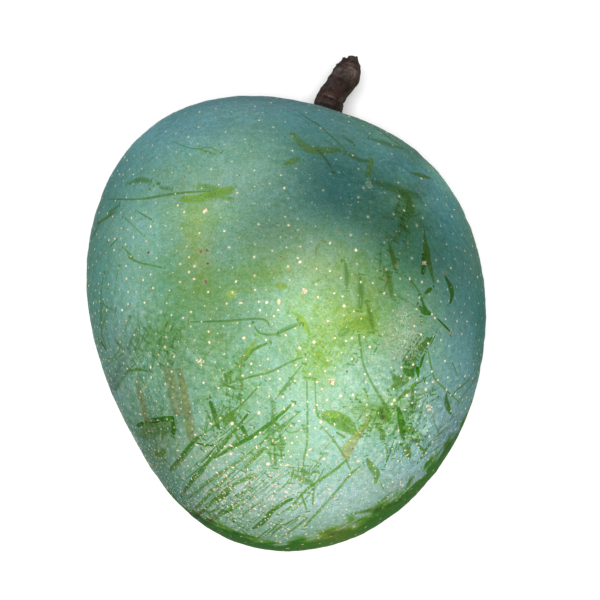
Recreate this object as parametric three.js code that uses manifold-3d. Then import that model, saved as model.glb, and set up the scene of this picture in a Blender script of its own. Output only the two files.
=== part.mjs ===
// A mature green mango with the stub of its stalk, lying on one cheek. Millimetres, +Z up.
// The origin is the middle of the small flat spot that the fruit rests on, straight below its
// centre of mass. +Y runs along the fruit from its apex to its stem end, and +X is to the right
// of someone who looks down on the upper cheek with the stalk pointing away from them.
import * as THREE from "three";
import { mergeVertices } from "three/addons/utils/BufferGeometryUtils.js";
import Module from "manifold-3d";

// ---- The fruit, in its own frame: broad outline in XY, cheeks towards +Z and -Z.
// Radii of the broad outline, every 20 degrees from +X towards +Y.
const OUTLINE = [
  52.8, 52.8, 53.6, 54.6, 54.4, 55.4, 58.8, 60.2, 56.3, 52.1, 49.4, 48.8, 52, 58, 60.4, 59.5, 56.7, 54.3,
];
const CHEEK_HEIGHT = 46; // from the middle to the top of either cheek
const CHEEK_FULLNESS = 2.2; // 2 is an ellipse, more is blunter
const SHOULDER_SHIFT = 5; // how far the cheeks' tops lie from the middle, towards the stem end
// The soft unevenness of the skin: its height, its wavelengths, and where its waves start.
const SWELL = { height: 0.35, across: 70, along: 84, up: 63, slant: 78, startX: -7, startY: -13 };
const BASIN_DEPTH = 3.5; // the hollow at the stem end
const BASIN_RADIUS = 10;
const FRUIT_AROUND = 84;
const FRUIT_RINGS = 44;
const RING_CROWDING = 1.25; // above 1 the rings lie closer together at the stem end

// ---- The stalk, in the fruit's frame, from the end of its sunk foot to its broken tip.
const STALK_AXIS = [
  [-1.4, 47.5, -2],
  [-1.1, 52, -2],
  [-0.5, 57.5, -2],
  [-0.2, 61, -1.8],
  [1.1, 64.3, -1.5],
  [2.3, 67.3, -1.3],
  [2.9, 69.9, -1.3],
  [2.8, 72.8, -1.4],
];
const STALK_RADII = [3.4, 3.4, 3.9, 4.1, 3.8, 3.6, 3.65, 3.4, 2]; // at equal steps along it
const BARK_STARTS = [0.22, 0.34]; // shares of its length over which the plain foot turns into bark
const KNOB = { along: 0.8, turn: 0.7, height: 0.5, length: 0.08, width: 0.6 }; // an old bud's scar
const FOLDS = { count: 9, height: 0.1, wander: 1.5 }; // rings of shrunken bark
const RIDGES = [
  { sides: 3, twist: 5, height: 0.1 },
  { sides: 5, twist: -7, height: 0.06 },
];
const BREAK_STARTS = [0.9, 1]; // shares of its length over which the break grows ragged
const BREAK_TEETH = [
  { sides: 2, height: 0.4, phase: 0 },
  { sides: 5, height: 0.28, phase: 0 },
];
const STALK_AROUND = 22;
const STALK_RINGS = 34;
const SOCKET_LENGTH = 8.4; // of the round hole that the foot stands in, cut out past the skin
const FIT_GAP = 0.3; // between the stalk's foot and that hole

// ---- How the fruit lies.
const REST_PITCH = THREE.MathUtils.degToRad(4.6); // its stem end is raised by this
const MIDDLE_AT_REST = new THREE.Vector3(-1.2, -1, 46); // where the fruit's own middle lies

const wasm = await Module();
wasm.setup();

/** A smooth closed course through values at equal steps round a circle. */
function roundTrip(values, angle) {
  const count = values.length;
  return values.reduce((sum, value, k) => {
    const away = angle - (2 * Math.PI * k) / count;
    const half = Math.sin(away / 2);
    if (Math.abs(half) < 1e-9) return sum + value;
    return sum + (value * Math.sin((count * away) / 2) * Math.cos(away / 2)) / (count * half);
  }, 0);
}

/** The skin's point in a direction from the fruit's middle, in the fruit's own frame. */
function skinPoint(direction) {
  const flat = Math.hypot(direction.x, direction.y);
  const high = Math.abs(direction.z);
  const reach = (flat ** CHEEK_FULLNESS + high ** CHEEK_FULLNESS) ** (-1 / CHEEK_FULLNESS);
  const rise = high * reach; // 0 on the broad outline, 1 at a cheek's top
  const radius = roundTrip(OUTLINE, Math.atan2(direction.y, direction.x)) * reach;
  const point = new THREE.Vector3(
    direction.x * radius,
    direction.y * radius + SHOULDER_SHIFT * rise ** 2,
    CHEEK_HEIGHT * rise * Math.sign(direction.z),
  );
  point.addScaledVector(direction, SWELL.height * swell(point));
  if (point.y > 0) {
    const away = Math.hypot(point.x - STALK_AXIS[1][0], point.z - STALK_AXIS[1][2]) / BASIN_RADIUS;
    point.y -= BASIN_DEPTH * Math.exp(-(away ** 2));
  }
  return point;
}

/** The skin's soft unevenness at a point, from -2 to 2. */
function swell({ x, y, z }) {
  const wave = (turns) => Math.sin(2 * Math.PI * turns);
  const level = wave((x - SWELL.startX) / SWELL.across) * wave((y - SWELL.startY) / SWELL.along);
  return level + wave(z / SWELL.up + x / SWELL.slant);
}

/** A closed surface from a start point, through rings of equally many points, to an end point. */
function loft(start, rings, end) {
  const around = rings[0].length;
  const points = [start, ...rings.flat(), end];
  const at = (ring, k) => 1 + ring * around + (k % around);
  const faces = [];
  for (let k = 0; k < around; k++) {
    faces.push(0, at(0, k), at(0, k + 1));
    for (let ring = 0; ring + 1 < rings.length; ring++) {
      faces.push(at(ring, k), at(ring + 1, k), at(ring + 1, k + 1));
      faces.push(at(ring, k), at(ring + 1, k + 1), at(ring, k + 1));
    }
    faces.push(points.length - 1, at(rings.length - 1, k + 1), at(rings.length - 1, k));
  }
  return new THREE.BufferGeometry().setFromPoints(points).setIndex(faces);
}

/** Turns at equal steps round a circle. */
function turns(count) {
  return Array.from({ length: count }, (_, k) => (2 * Math.PI * k) / count);
}

/** The fruit's whole skin, on rings round its long axis from the stem end to the apex. */
function fruitSkin() {
  const onSkin = (polar, turn) => {
    const out = Math.sin(polar);
    return skinPoint(new THREE.Vector3(out * Math.cos(turn), Math.cos(polar), -out * Math.sin(turn)));
  };
  const rings = [];
  for (let ring = 1; ring < FRUIT_RINGS; ring++) {
    const polar = Math.PI * (ring / FRUIT_RINGS) ** RING_CROWDING;
    rings.push(turns(FRUIT_AROUND).map((turn) => onSkin(polar, turn)));
  }
  return loft(onSkin(0, 0), rings, onSkin(Math.PI, 0));
}

const stalkCourse = new THREE.SplineCurve(STALK_RADII.map((radius, k) => new THREE.Vector2(k, radius)));

/** The sum at a turn of waves with a number of sides, a height and a phase. */
function sumWaves(waves, turn) {
  return waves.reduce((sum, wave) => sum + wave.height * Math.sin(wave.sides * turn + wave.phase), 0);
}

/** The stalk's radius at a share of its length and a turn round it. */
function stalkRadius(along, turn) {
  const fold = FOLDS.height * Math.sin(2 * Math.PI * FOLDS.count * along + FOLDS.wander * Math.sin(turn));
  const ridges = RIDGES.map(({ sides, twist, height }) => ({ sides, height, phase: twist * along }));
  const aside = (1 - Math.cos(turn - KNOB.turn)) / KNOB.width;
  const knob = KNOB.height * Math.exp(-(((along - KNOB.along) / KNOB.length) ** 2) - aside ** 2);
  const bark = THREE.MathUtils.smoothstep(along, ...BARK_STARTS);
  return stalkCourse.getPoint(along).y + bark * (fold + knob + sumWaves(ridges, turn));
}

/** The stalk's stub, lofted along its axis. A turn of 0 is its +X side, and a quarter is its top. */
function stalkStub() {
  const axis = new THREE.CatmullRomCurve3(STALK_AXIS.map((point) => new THREE.Vector3(...point)));
  const rings = [];
  for (let ring = 0; ring <= STALK_RINGS; ring++) {
    const along = ring / STALK_RINGS;
    const forward = axis.getTangentAt(along);
    const top = new THREE.Vector3(1, 0, 0).cross(forward).normalize();
    const side = forward.clone().cross(top);
    const broken = THREE.MathUtils.smoothstep(along, ...BREAK_STARTS);
    rings.push(
      turns(STALK_AROUND).map((turn) => {
        const radius = stalkRadius(along, turn);
        return axis
          .getPointAt(along)
          .addScaledVector(side, radius * Math.cos(turn))
          .addScaledVector(top, radius * Math.sin(turn))
          .addScaledVector(forward, broken * sumWaves(BREAK_TEETH, turn));
      }),
    );
  }
  return loft(axis.getPointAt(0), rings, axis.getPointAt(1));
}

/** The round hole for the stalk's foot, as a solid to cut away. */
function socketTool() {
  const foot = new THREE.Vector3(...STALK_AXIS[0]);
  const outwards = new THREE.Vector3(...STALK_AXIS[1]).sub(foot).normalize();
  const radius = STALK_RADII[0] + FIT_GAP;
  const tool = new THREE.CylinderGeometry(radius, radius, SOCKET_LENGTH, STALK_AROUND);
  tool.translate(0, SOCKET_LENGTH / 2 - FIT_GAP, 0);
  tool.applyQuaternion(new THREE.Quaternion().setFromUnitVectors(new THREE.Vector3(0, 1, 0), outwards));
  return tool.translate(...foot.toArray());
}

function toSolid(geometry) {
  const bare = geometry.clone();
  bare.deleteAttribute("normal");
  bare.deleteAttribute("uv");
  const merged = mergeVertices(bare);
  return new wasm.Manifold(
    new wasm.Mesh({
      numProp: 3,
      vertProperties: merged.attributes.position.array,
      triVerts: new Uint32Array(merged.index.array),
    }),
  );
}

function toGeometry(solid) {
  const mesh = solid.getMesh();
  return new THREE.BufferGeometry()
    .setAttribute("position", new THREE.BufferAttribute(mesh.vertProperties, mesh.numProp))
    .setIndex(new THREE.BufferAttribute(mesh.triVerts, 1));
}

function namedMesh(name, geometry, color, roughness) {
  geometry.computeVertexNormals();
  const material = new THREE.MeshStandardMaterial({ color, roughness, metalness: 0 });
  const mesh = new THREE.Mesh(geometry, material);
  mesh.name = name;
  return mesh;
}

// Everything above is in the fruit's frame, and this group lays it down.
const lying = new THREE.Group();
lying.position.copy(MIDDLE_AT_REST);
lying.rotation.x = REST_PITCH;
lying.updateMatrix();

/** What lies below the surface that the fruit rests on, in the fruit's frame. */
function groundTool() {
  const side = 4 * CHEEK_HEIGHT;
  const ground = new THREE.BoxGeometry(side, side, side).translate(0, 0, -side / 2);
  return ground.applyMatrix4(lying.matrix.clone().invert());
}

const fruitSolid = toSolid(fruitSkin()).subtract(toSolid(socketTool())).subtract(toSolid(groundTool()));
lying.add(namedMesh("fruit", toGeometry(fruitSolid), 0x5f9c84, 0.6));
lying.add(namedMesh("stalk", stalkStub(), 0x3a2a26, 0.85));

const mango = new THREE.Group();
mango.add(lying);
export default mango;
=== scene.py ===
"""A mature green mango with the stub of its stalk, lying on one cheek on a pale floor.

Shapes are worked out in the fruit's own frame in millimetres, as in part.mjs: the broad outline lies in
XY, +Y points to the stem end and the upper cheek faces +Z. lay() puts them in the row frame in metres.
Marks on the skin are placed by pixels of the 600 by 600 photograph and cast on to the skin.
"""

import math

import bpy
import numpy as np
from mathutils import Matrix, Vector
from mathutils.bvhtree import BVHTree
from mathutils.kdtree import KDTree


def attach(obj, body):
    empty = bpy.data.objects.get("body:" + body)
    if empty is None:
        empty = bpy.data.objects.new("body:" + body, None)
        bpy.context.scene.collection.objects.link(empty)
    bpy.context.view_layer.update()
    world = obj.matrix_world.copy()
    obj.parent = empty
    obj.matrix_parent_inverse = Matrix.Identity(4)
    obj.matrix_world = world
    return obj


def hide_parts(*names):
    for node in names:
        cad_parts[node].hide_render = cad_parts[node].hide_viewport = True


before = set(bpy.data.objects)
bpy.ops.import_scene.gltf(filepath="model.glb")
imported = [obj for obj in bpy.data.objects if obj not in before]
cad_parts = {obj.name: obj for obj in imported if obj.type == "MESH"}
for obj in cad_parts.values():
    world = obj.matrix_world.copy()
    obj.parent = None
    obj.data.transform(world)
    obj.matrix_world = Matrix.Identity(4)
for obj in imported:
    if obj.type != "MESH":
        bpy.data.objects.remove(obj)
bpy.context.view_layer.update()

# ---- The fruit's shape and how it lies: the same values as in part.mjs, in millimetres.
OUTLINE = [
    52.8, 52.8, 53.6, 54.6, 54.4, 55.4, 58.8, 60.2, 56.3,
    52.1, 49.4, 48.8, 52.0, 58.0, 60.4, 59.5, 56.7, 54.3,
]  # fmt: skip
CHEEK_HEIGHT = 46.0
CHEEK_FULLNESS = 2.2
SHOULDER_SHIFT = 5.0
SWELL = dict(height=0.35, across=70, along=84, up=63, slant=78, start_x=-7, start_y=-13)
BASIN_DEPTH = 3.5
BASIN_RADIUS = 10.0
BASIN_MIDDLE = (-1.1, -2.0)  # x and z of the stalk's axis
STALK_AXIS = [
    (-1.4, 47.5, -2.0),
    (-1.1, 52.0, -2.0),
    (-0.5, 57.5, -2.0),
    (-0.2, 61.0, -1.8),
    (1.1, 64.3, -1.5),
    (2.3, 67.3, -1.3),
    (2.9, 69.9, -1.3),
    (2.8, 72.8, -1.4),
]
STALK_RADII = [3.4, 3.4, 3.9, 4.1, 3.8, 3.6, 3.65, 3.4, 2.0]
BARK_STARTS = (0.22, 0.34)  # shares of the stalk's length where the bark's relief comes in
KNOB = dict(along=0.8, turn=0.7, height=0.5, length=0.08, width=0.6)
FOLDS = dict(count=9, height=0.05, wander=1.5)
RIDGES = [dict(sides=3, twist=5, height=0.1), dict(sides=5, twist=-7, height=0.06)]
STALK_SCARS = [
    dict(along=0.81, turn=1.3, radius=1.5, width=0.3, height=0.16),
    dict(along=0.81, turn=1.3, radius=0.5, width=0.35, height=0.1),
    dict(along=0.905, turn=1.7, lean=-0.02, span=1.9, width=0.3, height=0.25),
    dict(along=0.515, turn=1.5, lean=-0.01, span=0.75, width=0.25, height=0.24),
]
BREAK_STARTS = (0.9, 1.0)
BREAK_TEETH = [dict(sides=2, height=0.4), dict(sides=5, height=0.12)]
REST_PITCH = math.radians(4.6)
MIDDLE_AT_REST = np.array([-1.2, -1.0, 46.0])

# ---- Finer relief, in mm. A row of bumps has their size, their height and a seed.
SKIN_RELIEF = [(7.0, 0.05, 1), (3.2, 0.03, 2), (1.7, 0.015, 3)]
COLLAR = dict(radius=5.2, edge=4, sunk=0.5)  # the skin at the stalk's foot
FISSURES = dict(around=3.7, along=0.3, size=1.6, depth=0.03, seed=71, fine=[(0.8, 0.012, 72)])
CREASES = dict(around=1.1, along=1.0, size=1.6, depth=0.07, seed=73, fine=[(0.8, 0.022, 74)])
CREASE_STARTS = (0.9, 1.8)
BARK_GRIT = [(0.9, 0.016, 75), (0.45, 0.012, 76)]
BREAK_GRIT = [(0.5, 0.1, 77)]
SCAR_RADIUS = 3.6  # the stalk's radius where the round scar is
SCAR_FADE = 0.6  # how much of its span an open scar keeps in full
SCAR_GROOVE = dict(depth=0.8, out=1.6)  # beside each scar's ridge, as shares of its height and width
BREAK_RINGS = (0.86, 0.7, 0.52, 0.34, 0.16)  # the broken face's rings, as shares of its rim
BREAK_FACE_GRIT = [(0.7, 0.16, 78)]
BREAK_HOLLOW = dict(side=-0.5, top=0.2, spread=0.9, depth=1.0)
BREAK_DOME = 0.25
BREAK_MIDDLE = -0.55
BREAK_SHOWS = (-5, 1)  # rings before and beyond its rim where the broken wood's colour comes in

# Tints of the bark, some of them painted highlights, sheen and shade: share along the stalk, turn, reach
# along and round, and the colour.
STALK_TINTS = [
    (0.819, 1.55, 0.03, 0.3, (0.064, 0.044, 0.036)),
    (0.826, 1.05, 0.04, 0.25, (0.088, 0.064, 0.056)),
    (0.865, 1.6, 0.015, 0.5, (0.080, 0.056, 0.048)),
    # painted bluish-grey sheen
    (0.80, 2.16, 0.03, 0.2, (0.078, 0.074, 0.084)),
    (0.755, 2.35, 0.05, 0.3, (0.062, 0.046, 0.042)),
    # painted bluish-grey sheen
    (0.63, 2.29, 0.04, 0.3, (0.031, 0.032, 0.038)),
    (0.75, 1.6, 0.025, 0.25, (0.030, 0.026, 0.026)),
    (0.712, 1.3, 0.03, 0.35, (0.008, 0.005, 0.004)),
    (0.762, 0.75, 0.03, 0.25, (0.040, 0.026, 0.018)),
    # painted shade in a small pit
    (0.69, 0.7, 0.04, 0.25, (0.004, 0.003, 0.002)),
    (0.616, 1.5, 0.05, 0.4, (0.024, 0.011, 0.007)),
    (0.63, 0.95, 0.05, 0.3, (0.013, 0.006, 0.004)),
    # painted highlight on the crease's ridge
    (0.508, 1.57, 0.007, 0.45, (0.085, 0.062, 0.048)),
    (0.53, 1.7, 0.012, 0.6, (0.030, 0.018, 0.014)),
    # painted shade below the crease
    (0.488, 1.6, 0.012, 0.45, (0.006, 0.004, 0.003)),
    (0.453, 2.45, 0.04, 0.35, (0.034, 0.022, 0.018)),
    (0.438, 1.96, 0.02, 0.4, (0.040, 0.026, 0.021)),
    (0.47, 0.9, 0.04, 0.4, (0.013, 0.008, 0.005)),
    # painted shade at the stalk's foot, where it meets the skin
    (0.40, 1.4, 0.022, 1.5, (0.004, 0.003, 0.002)),
    (0.83, 0.3, 0.05, 0.2, (0.036, 0.034, 0.010)),
    (0.783, 0.4, 0.025, 0.2, (0.010, 0.008, 0.004)),
    (0.902, 1.6, 0.018, 0.6, (0.050, 0.033, 0.026)),
]
TINT_SHARE = 0.85  # the most that they cover

# ---- The photograph's view.
PHOTO_SIZE = 600  # pixels each way
MM_PER_PIXEL = 0.26  # at the fruit's middle
MIDDLE_PIXEL = (284.6, 316.5)  # where the fruit's middle shows
CAMERA_DISTANCE = 600.0
CAMERA_TILT = math.radians(12)  # from straight above the broad outline, towards the apex
CAMERA_ROLL = math.radians(12)  # the fruit's +Y leans this far to the right of the picture's upright
CAMERA_CLIP = (0.01, 50)
SENSOR = 36.0

# ---- How fine the meshes are.
FRUIT_CELLS = 124  # along each edge of the cube that the skin's grid comes from
STALK_AROUND = 96
STALK_STEPS = 400  # for measuring along the axis
STALK_RINGS = 230
STALK_FOOT = 0.17  # the share of the axis where the visible stub starts, below the skin
PORE_SIDES = 6
MILLI = 0.001
FULL_TURN = 2 * math.pi
STALK_TURNS = np.arange(STALK_AROUND) * FULL_TURN / STALK_AROUND

# ---- Soft patches of the skin's colour. Each has its middle pixel, its reach in pixels along and across,
# its lean in degrees, and what it adds to lightness, warmth and bloom.
SKIN_BASE = (0.095, 0.03, 0.53)
PATCHES = [
    # painted shadow: a dark, cooler arc from the stalk round to the right limb
    ((332, 180), (45, 40), 25, (-0.85, -0.65, 0.25)),
    ((345, 207), (44, 24), 8, (-0.3, -0.45, 0.0)),
    ((392, 222), (42, 36), 40, (-0.78, -0.6, 0.0)),
    ((430, 250), (40, 40), 60, (-0.65, -0.6, 0.0)),
    ((474, 300), (28, 55), 0, (-0.2, -0.85, 0.25)),
    ((300, 132), (36, 26), 0, (-0.1, -0.35, 0.1)),
    ((268, 222), (40, 34), 0, (-0.35, 0.15, 0.05)),
    # thick bluish bloom towards the limbs, with a painted bluish sheen of the grazing edges
    ((175, 116), (75, 34), -25, (0.25, -0.3, 0.5)),
    ((285, 104), (60, 18), 5, (0.1, -0.35, 0.45)),
    ((118, 178), (34, 32), -40, (0.0, -0.4, 0.15)),
    ((98, 250), (20, 70), 0, (-0.1, -0.3, 0.1)),
    ((108, 340), (26, 50), 10, (-0.1, 0.0, 0.1)),
    ((400, 158), (60, 24), 35, (0.15, -0.5, 0.3)),
    ((452, 215), (20, 40), -20, (0.1, -0.5, 0.3)),
    ((462, 370), (26, 45), 0, (0.05, -0.1, 0.3)),
    ((420, 445), (40, 35), 0, (0.2, 0.05, 0.3)),
    # the paler shoulder and left cheek
    ((230, 172), (52, 40), 0, (0.15, 0.4, 0.1)),
    ((142, 228), (30, 32), 0, (0.25, 0.1, 0.15)),
    ((130, 292), (26, 42), 0, (0.25, 0.1, 0.1)),
    # green stretches where the bloom is worn
    ((197, 222), (20, 34), 0, (0.05, 0.35, -0.12)),
    ((200, 262), (12, 26), 0, (0.0, 0.5, -0.05)),
    ((200, 292), (46, 34), 20, (-0.15, 0.0, -0.25)),
    ((160, 336), (22, 22), 0, (-0.15, -0.1, -0.2)),
    ((335, 268), (80, 34), 15, (-0.05, 0.2, -0.22)),
    ((345, 322), (55, 24), 10, (0.05, 0.1, -0.4)),
    ((318, 356), (30, 26), 0, (0.05, 0.0, -0.25)),
    ((232, 378), (36, 34), 0, (0.0, -0.05, -0.18)),
    ((275, 440), (34, 28), 0, (0.0, -0.1, -0.2)),
    ((375, 418), (45, 22), 10, (-0.15, -0.1, -0.25)),
    # the warm crown of the cheek, and painted light over the middle and lower face where the light falls
    # fullest
    ((310, 262), (36, 24), 0, (0.2, 0.4, 0.1)),
    ((298, 305), (44, 34), 0, (0.4, 0.2, 0.05)),
    ((315, 378), (75, 42), 0, (0.35, 0.05, 0.05)),
    ((345, 355), (95, 110), 0, (0.1, 0.45, 0.0)),
    ((400, 400), (50, 50), 0, (0.1, 0.1, 0.0)),
    ((325, 445), (80, 60), 0, (0.5, 0.4, 0.12)),
    ((330, 505), (60, 26), -15, (0.25, 0.45, 0.1)),
    ((260, 490), (50, 30), 25, (0.3, 0.75, 0.15)),
    ((395, 340), (18, 28), 30, (0.1, 0.4, 0.05)),
    # a yellowish smear
    ((193, 236), (17, 30), 4, (0.0, 0.25, -0.1)),
    # a pale spot
    ((231, 294), (4.5, 4.5), 0, (0.4, 1.1, -0.25)),
    # smaller shifts
    ((455, 300), (30, 50), -10, (-0.2, -0.15, 0.0)),
    ((260, 275), (36, 15), -10, (-0.16, 0.0, -0.2)),
    ((315, 245), (42, 22), 0, (-0.1, -0.05, 0.0)),
    ((210, 128), (70, 13), 0, (-0.12, -0.1, 0.08)),
    ((395, 168), (40, 16), -35, (-0.28, -0.12, 0.0)),
    ((215, 213), (50, 15), 0, (0.13, 0.0, -0.08)),
    ((116, 205), (10, 12), 0, (-0.15, -0.3, 0.0)),
    ((168, 352), (18, 30), 0, (-0.14, -0.05, -0.12)),
    ((250, 503), (50, 24), -10, (0.1, 0.3, 0.08)),
    ((392, 290), (28, 70), 0, (-0.06, -0.38, 0.0)),
    ((100, 288), (12, 50), 0, (0.0, -0.35, 0.0)),
    ((165, 300), (22, 50), 0, (0.0, -0.22, 0.0)),
    ((215, 157), (60, 17), 0, (-0.04, -0.26, -0.03)),
    ((370, 165), (62, 26), -20, (-0.08, -0.2, 0.0)),
    ((262, 212), (26, 20), 0, (-0.05, -0.25, 0.0)),
    ((440, 250), (14, 60), -8, (0.0, 0.0, 0.1)),
    ((350, 495), (42, 17), 0, (0.03, 0.15, 0.1)),
    ((318, 376), (17, 18), 0, (-0.16, 0.0, -0.15)),
    ((322, 322), (22, 14), 0, (0.0, 0.0, 0.1)),
    ((420, 185), (14, 12), 0, (-0.3, 0.0, 0.0)),
    ((340, 187), (28, 10), 0, (0.15, 0.0, 0.0)),
    ((380, 205), (28, 10), 0, (0.17, 0.0, 0.0)),
    ((260, 505), (34, 30), 0, (-0.2, -0.25, -0.1)),
    ((398, 422), (22, 26), 0, (-0.15, -0.3, -0.2)),
    ((440, 445), (14, 12), 0, (-0.2, 0.0, 0.0)),
    ((380, 295), (13, 16), 0, (0.0, 0.35, 0.0)),
    ((420, 365), (12, 12), 0, (0.0, -0.35, 0.0)),
    ((458, 325), (12, 14), 0, (0.0, 0.3, 0.0)),
    ((482, 315), (10, 40), 0, (0.0, -0.35, -0.08)),
    ((180, 485), (14, 30), 40, (0.0, -0.6, 0.0)),
    ((425, 240), (32, 14), 0, (0.15, 0.05, 0.0)),
    ((408, 355), (14, 22), 0, (-0.15, 0.0, 0.0)),
    ((484, 335), (9, 44), 0, (-0.2, -0.3, -0.1)),
    ((222, 434), (18, 22), 0, (0.12, 0.12, 0.0)),
    ((258, 342), (20, 14), 0, (0.1, 0.0, 0.0)),
    ((140, 440), (8, 12), 0, (0.1, 0.0, 0.2)),
    ((338, 534), (22, 7), -14, (0.1, 1.3, -0.1)),
    ((378, 348), (26, 18), 0, (0.0, -0.3, 0.0)),
    ((392, 425), (26, 24), 0, (0.0, -0.2, 0.0)),
    ((172, 425), (24, 40), 0, (0.0, -0.25, 0.0)),
    ((245, 468), (30, 14), 0, (0.0, -0.2, 0.0)),
    ((388, 155), (22, 14), 0, (0.0, 0.25, 0.0)),
    ((385, 222), (22, 30), 0, (0.0, 0.22, 0.0)),
    ((118, 398), (12, 20), 0, (0.0, 0.25, 0.12)),
    ((320, 122), (32, 12), 0, (0.0, 0.0, 0.15)),
    ((268, 428), (24, 14), 0, (0.0, 0.0, 0.1)),
    ((222, 255), (12, 16), 0, (0.0, 0.0, 0.12)),
    ((205, 342), (22, 18), 0, (-0.05, 0.0, -0.13)),
    # brownish wear and the darker flank by the apex
    ((178, 400), (16, 36), -5, (0.0, 0.6, 0.0)),
    ((198, 458), (32, 30), 0, (0.05, 0.6, 0.0)),
    ((155, 438), (24, 30), 0, (-0.4, 0.0, -0.1)),
    ((172, 498), (44, 26), 50, (-0.4, -0.2, 0.05)),
    ((109, 392), (5, 46), 24, (-0.4, 0.0, 0.0)),
    ((228, 538), (24, 8), 20, (-0.1, 0.0, -0.1)),
    ((483, 370), (8, 22), 0, (-0.12, -0.4, -0.15)),
    ((458, 438), (16, 40), -32, (-0.08, 0.3, 0.35)),
    ((472, 285), (18, 60), 0, (0.02, 0.33, 0.0)),
    ((405, 315), (24, 18), 0, (0.0, -0.15, 0.0)),
    ((265, 103), (62, 9), 0, (-0.05, 0.4, 0.0)),
    ((165, 400), (34, 40), 0, (0.0, -0.2, 0.0)),
    ((350, 215), (30, 26), 0, (0.0, 0.18, 0.0)),
    ((425, 492), (18, 34), -45, (0.0, 0.2, 0.22)),
    ((408, 213), (13, 24), -12, (-0.06, 0.1, -0.22)),
    ((370, 302), (12, 30), 0, (-0.06, 0.0, -0.12)),
    ((388, 285), (10, 26), 0, (-0.05, 0.0, -0.1)),
    ((330, 545), (60, 7), -14, (0.15, 0.5, -0.3)),
    # painted rim light along the upper left and upper right edges
    ((145.5, 134.5), (34, 6), -42, (0.25, 0.0, 0.0)),
    ((439, 178), (22, 5), 52, (0.3, 0.15, 0.0)),
]

# Where wear makes the skin blotchy: middle pixel, reach, lean and how much.
RUBBED = [
    ((150, 350), (42, 50), 0, 0.9),
    ((155, 430), (44, 46), 20, 0.9),
    ((232, 372), (44, 42), 0, 0.7),
    ((385, 345), (60, 50), 30, 0.5),
    ((405, 425), (46, 50), 40, 1.3),
    ((400, 200), (60, 34), 35, 0.5),
    ((225, 515), (40, 20), -30, 1.3),
    ((300, 500), (90, 40), 0, 0.2),
]

# The green band where the bloom stops along the lower edge, darkened by painted shade of the underside: how
# squarely the skin faces the camera at the band's inner edge, for headings from left to right in the picture.
RIM_REACH = [
    (-0.85, -0.1), (-0.6, 0.3), (0.0, 0.36), (0.4, 0.41), (0.54, 0.43),
    (0.66, 0.38), (0.84, 0.3), (0.92, 0.14), (0.99, -0.1),
]  # fmt: skip
RIM_RAGGED = [(6.0, 0.04, 8), (2.5, 0.03, 9)]
RIM_SOFT = (0.09, -0.1)  # how far its inner edge fades either way
RIM_LOW = (0.0, -0.3)  # how far down the skin leans where it begins
# What the band adds: less bloom, and a darker green that is painted shade.
RIM_BARE_AND_PAINTED_SHADE = (-0.9, -1.6, -1.45)
# Rings of skin near the fruit's edge: how squarely each faces the camera, and what it adds.
# Painted cool sheen and a touch of painted shade in a ring near the edge.
LIMB_FACING, LIMB_PAINTED_SHEEN_AND_SHADE = (0.5, 0.1), (-0.02, -0.2, 0.05)
LIMB_OFF_RIM = 0.7  # how much of it the green band takes away
# Painted rim light: the outermost edge made lighter and warmer, as with light coming round the fruit.
BRINK_FACING, BRINK_PAINTED_LIGHT = (0.2, 0.02), (0.25, 0.3, 0.0)
EDGE_FACING, EDGE_ADDS = (0.5, 0.16), (0.2, 0.3, -0.18)
EDGE_RAGGED = [(6.0, 0.03, 8)]
EDGE_HEADING, EDGE_SPAN = (0.75, 0.66), (0.7, 0.95)  # only at the upper right
# The sides that the photograph doesn't show, and how far round the shown colours reach.
FRONT_FACING = (-0.3, 0.08)
HIDDEN_BASE = (-0.25, 0.1, 0.45)
HIDDEN_SWINGS = [(46.0, (0.22, 0.3, 0.18)), (17.0, (0.12, 0.15, 0.12))]  # size in mm, heights
# Scurf, and where flecks of cork are strewn most: middle pixel, reach, lean and how much.
SCURF = [((402, 340), (22, 21), 60, 1.0), ((406, 310), (18, 16), 0, 0.4)]
FLECKED = [((252, 484), (56, 26), -15, 1.0), ((395, 485), (50, 24), 35, 0.6)]
FLECK_LEAST = 0.35
FLECK_FADES = (0, -50)  # from the middle towards the apex, in mm
FLECK_RAGGED = [(15.0, 8, 62)]
RIM_CLEAN = 0.85  # how much of them the green band lacks
HIDDEN_SCURF = dict(size=24.0, seed=61, starts=(1.3, 2.2), most=1.0)
HIDDEN_RUB = dict(size=30.0, seed=63, starts=(0.0, 1.5), most=0.4)

# ---- Marks where the bloom is rubbed or cut. A kind has how much it shows, its tone and how streaky it is.
# Tones run from brownish grey below 0 through bottle green at 0.07 to 0.28, leaf green at 0.5, olive at
# 0.64, fresh green at 0.72, brown at 0.8 and straw at 0.87 to 0.98 to pale bloom from 1. The kinds that
# show least have soft edges.
KINDS = {
    "slash": (2.2, 0.17, 0.0),
    "deep": (1.15, 0.34, 0.4),
    "leaf": (1.05, 0.5, 0.45),
    "fresh": (1.0, 0.71, 0.5),
    "line": (0.92, 0.5, 0.2),
    "scrape": (0.95, 0.56, 0.8),
    "faint": (0.8, 0.44, 0.5),
    "olive": (0.88, 0.64, 0.35),
    "tan": (0.86, -0.1, 0.3),
    "brown": (0.95, 0.8, 0.25),
    "straw": (0.9, 0.88, 0.1),
    "pale": (0.9, 1.4, 0.0),
    "frost": (0.25, 1.4, 0.7),
}

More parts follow.
